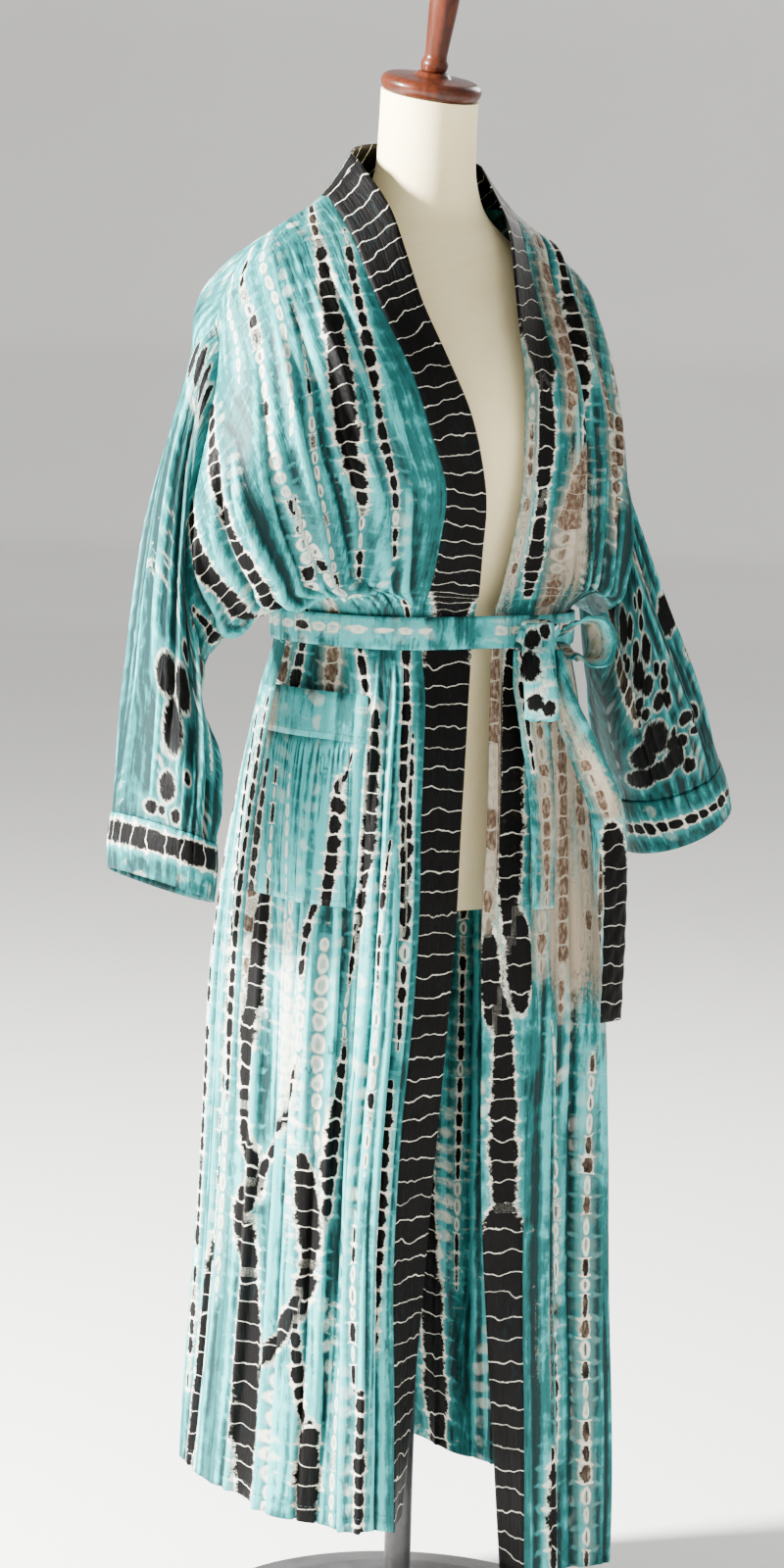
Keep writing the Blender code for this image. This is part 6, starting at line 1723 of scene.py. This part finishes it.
def stitch_points(path, out, lift):
    """Corners of every stitch along a path: four-sided spindles of thread, lying along the path and raised off
    the cloth, each set out as whole arrays from the stitch's middle, its direction and the cloth's normal."""
    steps = np.linalg.norm(np.diff(path, axis=0), axis=1)
    at = np.concatenate([[0.0], np.cumsum(steps)])
    count = int(at[-1] // (STITCH_LONG + STITCH_GAP))
    ends = np.arange(count)[:, None] * (STITCH_LONG + STITCH_GAP) + np.array([[0.0, 0.5, 1.0]]) * STITCH_LONG
    line = np.stack([np.interp(ends, at, path[:, k]) for k in range(3)], axis=-1)
    up = np.stack([np.interp(ends, at, out[:, k]) for k in range(3)], axis=-1)
    up /= np.linalg.norm(up, axis=-1, keepdims=True)
    along = line[:, 2:] - line[:, :1]
    along = along / np.linalg.norm(along, axis=-1, keepdims=True)
    side = np.cross(along, up)
    side /= np.linalg.norm(side, axis=-1, keepdims=True)
    bow = np.array([0.2, 1.0, 0.2])[None, :, None] * STITCH_LIFT
    base = line + up * (lift + bow)
    half = np.array([0.45, 1.0, 0.45])[None, :, None] * STITCH_WIDE / 2
    left = base - side * half
    right = base + side * half
    crest = base + up * half * 1.2
    keel = base - up * half * 1.2
    return np.stack([left, crest, right, keel], axis=2)


def stitching_piece():
    """All rows of stitches as one piece: a short four-sided spindle for each stitch."""
    rings = np.concatenate([stitch_points(*path) for path in stitch_rows()])
    count = len(rings)
    base = np.arange(count)[:, None] * 12
    around = np.array([0, 1, 2, 3])
    after = np.array([1, 2, 3, 0])
    walls = []
    for ring in range(2):
        quad = np.stack([around, after, after + 4, around + 4], axis=-1) + 4 * ring
        walls.append(base[:, None] + quad[None])
    walls.append((base + np.array([3, 2, 1, 0]))[:, None])
    walls.append((base + np.array([8, 9, 10, 11]))[:, None])
    faces = np.concatenate([wall.reshape(-1, 4) for wall in walls])
    mesh = bpy.data.meshes.new("thread_stitching")
    mesh.from_pydata(rings.reshape(-1, 3).tolist(), [], faces.tolist())
    finish_mesh(mesh)
    piece = add_piece("thread_stitching", mesh, thread_material("thread_seams", THREAD_DARK), [])


def form_piece():
    """Torso and neck of the form: the part's rings, read finely and closed at both ends."""
    values = table(FORM_COLUMNS, FORM)
    levels = np.linspace(values["z"][0], values["z"][-1], FORM_FINE_ROWS + 1)
    grid = form_rings(levels, FORM_FINE_SIDES)
    for end in (0, -1):
        middle = grid[end].mean(axis=0)
        for share in (0.97, 0.0):
            ring = middle + (grid[end] - middle) * share
            grid = np.concatenate([ring[None], grid]) if end == 0 else np.concatenate([grid, ring[None]])
    metres = arc_across(grid)
    steps = np.linalg.norm(np.diff(grid[:, 0], axis=0), axis=1)
    length = grid_field(np.concatenate([[0.0], np.cumsum(steps)])[:, None], metres.shape)
    mesh = panel_mesh("form_cover", grid, metres, length, {}, False, True)
    finish_mesh(mesh, True)
    mesh.set_sharp_from_angle(angle=math.radians(60))
    add_piece("form_cover", mesh, material_of("cream_jersey", draw_jersey), ["form_torso"])


def form_rings(levels, sides):
    """Rings of the dress form, leaning forward at the neck."""
    values = table(FORM_COLUMNS, FORM)
    columns = np.stack([values[name] for name in FORM_COLUMNS[1:]], axis=-1)
    read = skin(values["z"], columns, levels)
    turn = np.linspace(0.0, 2 * math.pi, sides, endpoint=False)
    middle = (read[:, 1] + read[:, 2]) / 2
    depth = (read[:, 2] - read[:, 1]) / 2
    x = read[:, 0:1] * np.sign(np.cos(turn)) * np.abs(np.cos(turn)) ** FORM_SQUARE
    y = middle[:, None] + depth[:, None] * np.sign(np.sin(turn)) * np.abs(np.sin(turn)) ** FORM_SQUARE
    lean = read[:, 3:4] * math.tan(NECK_TILT)
    z = levels[:, None] + (y - middle[:, None]) * lean
    return np.stack([x, y, z], axis=-1)


def turned_grid(profile):
    """Turned piece: its profile, read finely as straight runs with rounded corners, carried round the axis."""
    values = table(TURNED_COLUMNS, profile)
    points = np.stack([values["radius"], values["height"]], axis=-1)
    steps = np.linalg.norm(np.diff(points, axis=0), axis=1)
    at = np.concatenate([[0.0], np.cumsum(steps)])
    count = max(24, int(at[-1] / PROFILE_CELL))
    fine = np.linspace(0.0, at[-1], count + 1)
    line = np.stack([np.interp(fine, at, points[:, k]) for k in range(2)], axis=-1)
    for _ in range(3):
        line[1:-1] = (line[:-2] + 2 * line[1:-1] + line[2:]) / 4
    turn = np.linspace(0.0, 2 * math.pi, TURNED_FINE, endpoint=False)
    radius = line[:, 0:1]
    height = line[:, 1:2] + 0 * turn[None, :]
    return np.stack([radius * np.cos(turn), radius * np.sin(turn), height], axis=-1)


def turned_piece(name, node, profile, material, matrix):
    """Turned piece put in its place."""
    grid = turned_grid(profile)
    metres = arc_across(grid)
    length = grid_field(np.arange(len(grid))[:, None] * PROFILE_CELL, metres.shape)
    mesh = panel_mesh(name, grid, metres, length, {}, True, True)
    mesh.transform(matrix)
    finish_mesh(mesh, True)
    mesh.set_sharp_from_angle(angle=math.radians(60))
    add_piece(name, mesh, material, [node])


def top_pieces():
    """Neck cap and finial, leaning with the neck."""
    values = table(FORM_COLUMNS, FORM)
    top = Vector((0.0, (values["y_front"][-1] + values["y_back"][-1]) / 2, values["z"][-1]))
    tilt = Matrix.Rotation(NECK_TILT, 4, "X")
    axis = tilt @ Vector((0.0, 0.0, 1.0))
    wood = plain_material("turned_mahogany", MAHOGANY, MAHOGANY_DARK, 22.0, 0.34, 0.00006, 0.20, (6, 6, 1),
                          0.15)
    cap = Matrix.Translation(top + axis * SEAT_GAP) @ tilt
    turned_piece("wood_neck_cap", "neck_cap", NECK_CAP_PROFILE, wood, cap)
    high = table(TURNED_COLUMNS, NECK_CAP_PROFILE)["height"][0] + 2 * SEAT_GAP
    turned_piece("wood_finial", "finial", FINIAL_PROFILE, wood, Matrix.Translation(top + axis * high) @ tilt)


def stand_pieces():
    """Round foot and pole."""
    paint = plain_material("black_paint", BLACK_PAINT, BLACK_WORN, 40.0, 0.42, 0.00005, 0.15)
    turned_piece("metal_stand_base", "stand_base", BASE_PROFILE, paint, Matrix.Identity(4))
    low = table(TURNED_COLUMNS, BASE_PROFILE)["height"][0] + SEAT_GAP
    high = table(FORM_COLUMNS, FORM)["z"][0] - SEAT_GAP
    path = np.stack([np.zeros(12), np.zeros(12), np.linspace(low, high, 12)], axis=-1)
    grid = tube_grid(path, POLE_RADIUS, 48)
    metres = arc_across(grid)
    mesh = panel_mesh("metal_stand_pole", grid, metres, grid[..., 2], {}, False, True)
    finish_mesh(mesh)
    mesh.set_sharp_from_angle(angle=math.radians(60))
    add_piece("metal_stand_pole", mesh, paint, ["stand_pole"])


def stage_pieces():
    """Floor, lights, world and the camera of the photograph."""
    looks = bpy.context.scene.duster_stage
    radius, height = np.array(FLOOR_PROFILE).T
    at = np.linspace(0.0, len(radius) - 1, 90)
    radius = np.interp(at, np.arange(len(radius)), radius)
    height = np.interp(at, np.arange(len(height)), height)
    turn = np.linspace(0.0, 2 * math.pi, 120, endpoint=False)
    grid = np.stack([radius[:, None] * np.cos(turn), radius[:, None] * np.sin(turn),
                     height[:, None] + 0 * turn[None, :]], axis=-1)
    metres = arc_across(grid)
    mesh = panel_mesh("stage_floor", grid, metres, grid_field(radius[:, None], metres.shape), {}, False, True)
    mesh.materials.append(plain_material("pale_floor", colour4(looks.floor), colour4(looks.floor_shade), 0.8,
                                         0.75, 0.0002))
    floor = bpy.data.objects.new("stage_floor", mesh)
    bpy.context.scene.collection.objects.link(floor)
    back = Vector((math.sin(CAMERA_AZIMUTH), -math.cos(CAMERA_AZIMUTH), 0.0))
    side = Vector((math.cos(CAMERA_AZIMUTH), math.sin(CAMERA_AZIMUTH), 0.0))
    for name, turn_by, far, high, size, power in LIGHTS:
        lamp = bpy.data.lights.new(name, "AREA")
        lamp.shape = "DISK"
        lamp.size = size
        lamp.energy = power * looks.light
        lamp.color = LIGHT_COLOUR
        item = bpy.data.objects.new(name, lamp)
        bpy.context.scene.collection.objects.link(item)
        away = Matrix.Rotation(turn_by, 3, "Z") @ back
        item.location = away * far + Vector((0.0, 0.0, high))
        item.rotation_euler = (Vector((0.0, 0.0, 0.95)) - item.location).to_track_quat("-Z", "Y").to_euler()
    world = bpy.data.worlds.new("studio")
    world.use_nodes = True
    world.node_tree.nodes["Background"].inputs["Color"].default_value = (1.0, 0.99, 0.97, 1.0)
    world.node_tree.nodes["Background"].inputs["Strength"].default_value = looks.world
    bpy.context.scene.world = world
    lens = bpy.data.cameras.new("photo_camera")
    lens.sensor_fit = "AUTO"
    lens.sensor_width = CAMERA_SENSOR
    lens.lens = CAMERA_SENSOR / 2 / math.tan(CAMERA_FIELD / 2)
    camera = bpy.data.objects.new("photo_camera", lens)
    bpy.context.scene.collection.objects.link(camera)
    camera.location = back * CAMERA_DISTANCE + side * CAMERA_SHIFT + Vector((0.0, 0.0, CAMERA_HEIGHT))
    aim = side * CAMERA_SHIFT + Vector((0.0, 0.0, CAMERA_AIM))
    facing = (aim - camera.location).to_track_quat("-Z", "Y").to_matrix()
    camera.rotation_euler = (facing @ Matrix.Rotation(CAMERA_TURN, 3, "Z")).to_euler()
    bpy.context.scene.camera = camera


def colour_property(name, description, default):
    """Property that holds a colour."""
    return FloatVectorProperty(name=name, description=description, default=default, subtype="COLOR")


class DusterCloth(bpy.types.PropertyGroup):
    """Sizes and dye colours of the cloth."""

    thickness: FloatProperty(name="Cloth thickness", description="Wall of a sheet", default=0.0009, unit="LENGTH")
    crease_depth: FloatProperty(name="Crease depth", description="Factor on every crease's depth", default=1.6)
    crinkle_depth: FloatProperty(name="Crinkle depth", description="Height of the small relief that the mesh holds",
                                 default=0.00050, unit="LENGTH")
    relief: FloatProperty(name="Weave relief", description="Strength of the crinkled weave's bump", default=0.85)
    teal: colour_property("Teal", "Ground", (0.006, 0.094, 0.094))
    light: colour_property("Light teal", "Ground where the dye is thin", (0.055, 0.390, 0.395))
    deep: colour_property("Deep teal", "Ground where the dye pooled", (0.0030, 0.020, 0.021))
    white: colour_property("White", "Undyed halo", (0.720, 0.685, 0.570))
    cream: colour_property("Cream", "Bleached brownish patches", (0.340, 0.270, 0.190))
    charcoal: colour_property("Charcoal", "Ink of the cells", (0.0014, 0.0012, 0.0012))
    brown: colour_property("Brown", "Ink that turned brown", (0.085, 0.050, 0.032))


class DusterStage(bpy.types.PropertyGroup):
    """Floor and light."""

    floor: colour_property("Floor", "Floor colour", (0.93, 0.93, 0.92))
    floor_shade: colour_property("Floor shade", "Second floor colour", (0.90, 0.90, 0.89))
    light: FloatProperty(name="Light", description="Factor on the three lamps", default=1.0)
    world: FloatProperty(name="World", description="Strength of the even light", default=0.60)


class DUSTER_OT_body(bpy.types.Operator):
    """Build the back and both fronts"""

    bl_idname = "duster.body"
    bl_label = "Body panels"

    def execute(self, context):
        body_pieces()
        return {"FINISHED"}


class DUSTER_OT_bands(bpy.types.Operator):
    """Build the front bands and the neck band"""

    bl_idname = "duster.bands"
    bl_label = "Bands"

    def execute(self, context):
        band_pieces()
        return {"FINISHED"}


class DUSTER_OT_sleeves(bpy.types.Operator):
    """Build the sleeves and their cuffs"""

    bl_idname = "duster.sleeves"
    bl_label = "Sleeves and cuffs"

    def execute(self, context):
        sleeve_pieces()
        return {"FINISHED"}


class DUSTER_OT_pockets(bpy.types.Operator):
    """Build the gathered patch pockets and their bands"""

    bl_idname = "duster.pockets"
    bl_label = "Pockets"

    def execute(self, context):
        pocket_pieces()
        return {"FINISHED"}


class DUSTER_OT_belt(bpy.types.Operator):
    """Build the tied belt and its carriers"""

    bl_idname = "duster.belt"
    bl_label = "Tie belt"

    def execute(self, context):
        belt_pieces()
        return {"FINISHED"}


class DUSTER_OT_stitching(bpy.types.Operator):
    """Lay the rows of stitches along hems, bands, cuffs and pockets"""

    bl_idname = "duster.stitching"
    bl_label = "Stitching"

    def execute(self, context):
        stitching_piece()
        return {"FINISHED"}


class DUSTER_OT_form(bpy.types.Operator):
    """Build the dress form with its neck cap and finial"""

    bl_idname = "duster.form"
    bl_label = "Dress form"

    def execute(self, context):
        form_piece()
        top_pieces()
        return {"FINISHED"}


class DUSTER_OT_stand(bpy.types.Operator):
    """Build the pole and the round foot"""

    bl_idname = "duster.stand"
    bl_label = "Stand"

    def execute(self, context):
        stand_pieces()
        return {"FINISHED"}


class DUSTER_OT_stage(bpy.types.Operator):
    """Set up the floor, the lights and the camera"""

    bl_idname = "duster.stage"
    bl_label = "Stage"

    def execute(self, context):
        stage_pieces()
        return {"FINISHED"}


STEPS = (DUSTER_OT_stage, DUSTER_OT_form, DUSTER_OT_stand, DUSTER_OT_body, DUSTER_OT_bands, DUSTER_OT_sleeves,
         DUSTER_OT_pockets, DUSTER_OT_belt, DUSTER_OT_stitching)


class DUSTER_PT_steps(bpy.types.Panel):
    """Lists the steps and the cloth's sizes and colours"""

    bl_idname = "DUSTER_PT_steps"
    bl_label = "Kimono duster"
    bl_space_type = "VIEW_3D"
    bl_region_type = "UI"
    bl_category = "Duster"

    def draw(self, context):
        column = self.layout.column(align=True)
        for step in STEPS:
            column.operator(step.bl_idname)
        for key in DusterCloth.__annotations__:
            column.prop(context.scene.duster_cloth, key)
        for key in DusterStage.__annotations__:
            column.prop(context.scene.duster_stage, key)


CLASSES = (DusterCloth, DusterStage) + STEPS + (DUSTER_PT_steps,)


def register():
    for item in CLASSES:
        bpy.utils.register_class(item)
    bpy.types.Scene.duster_cloth = PointerProperty(type=DusterCloth)
    bpy.types.Scene.duster_stage = PointerProperty(type=DusterStage)


def unregister():
    del bpy.types.Scene.duster_stage
    del bpy.types.Scene.duster_cloth
    for item in reversed(CLASSES):
        bpy.utils.unregister_class(item)


def main():
    """Build everything in order."""
    register()
    bpy.ops.duster.stage()
    bpy.ops.duster.form()
    bpy.ops.duster.stand()
    bpy.ops.duster.body()
    bpy.ops.duster.bands()
    bpy.ops.duster.sleeves()
    bpy.ops.duster.pockets()
    bpy.ops.duster.belt()
    bpy.ops.duster.stitching()


if __name__ == "__main__":
    main()
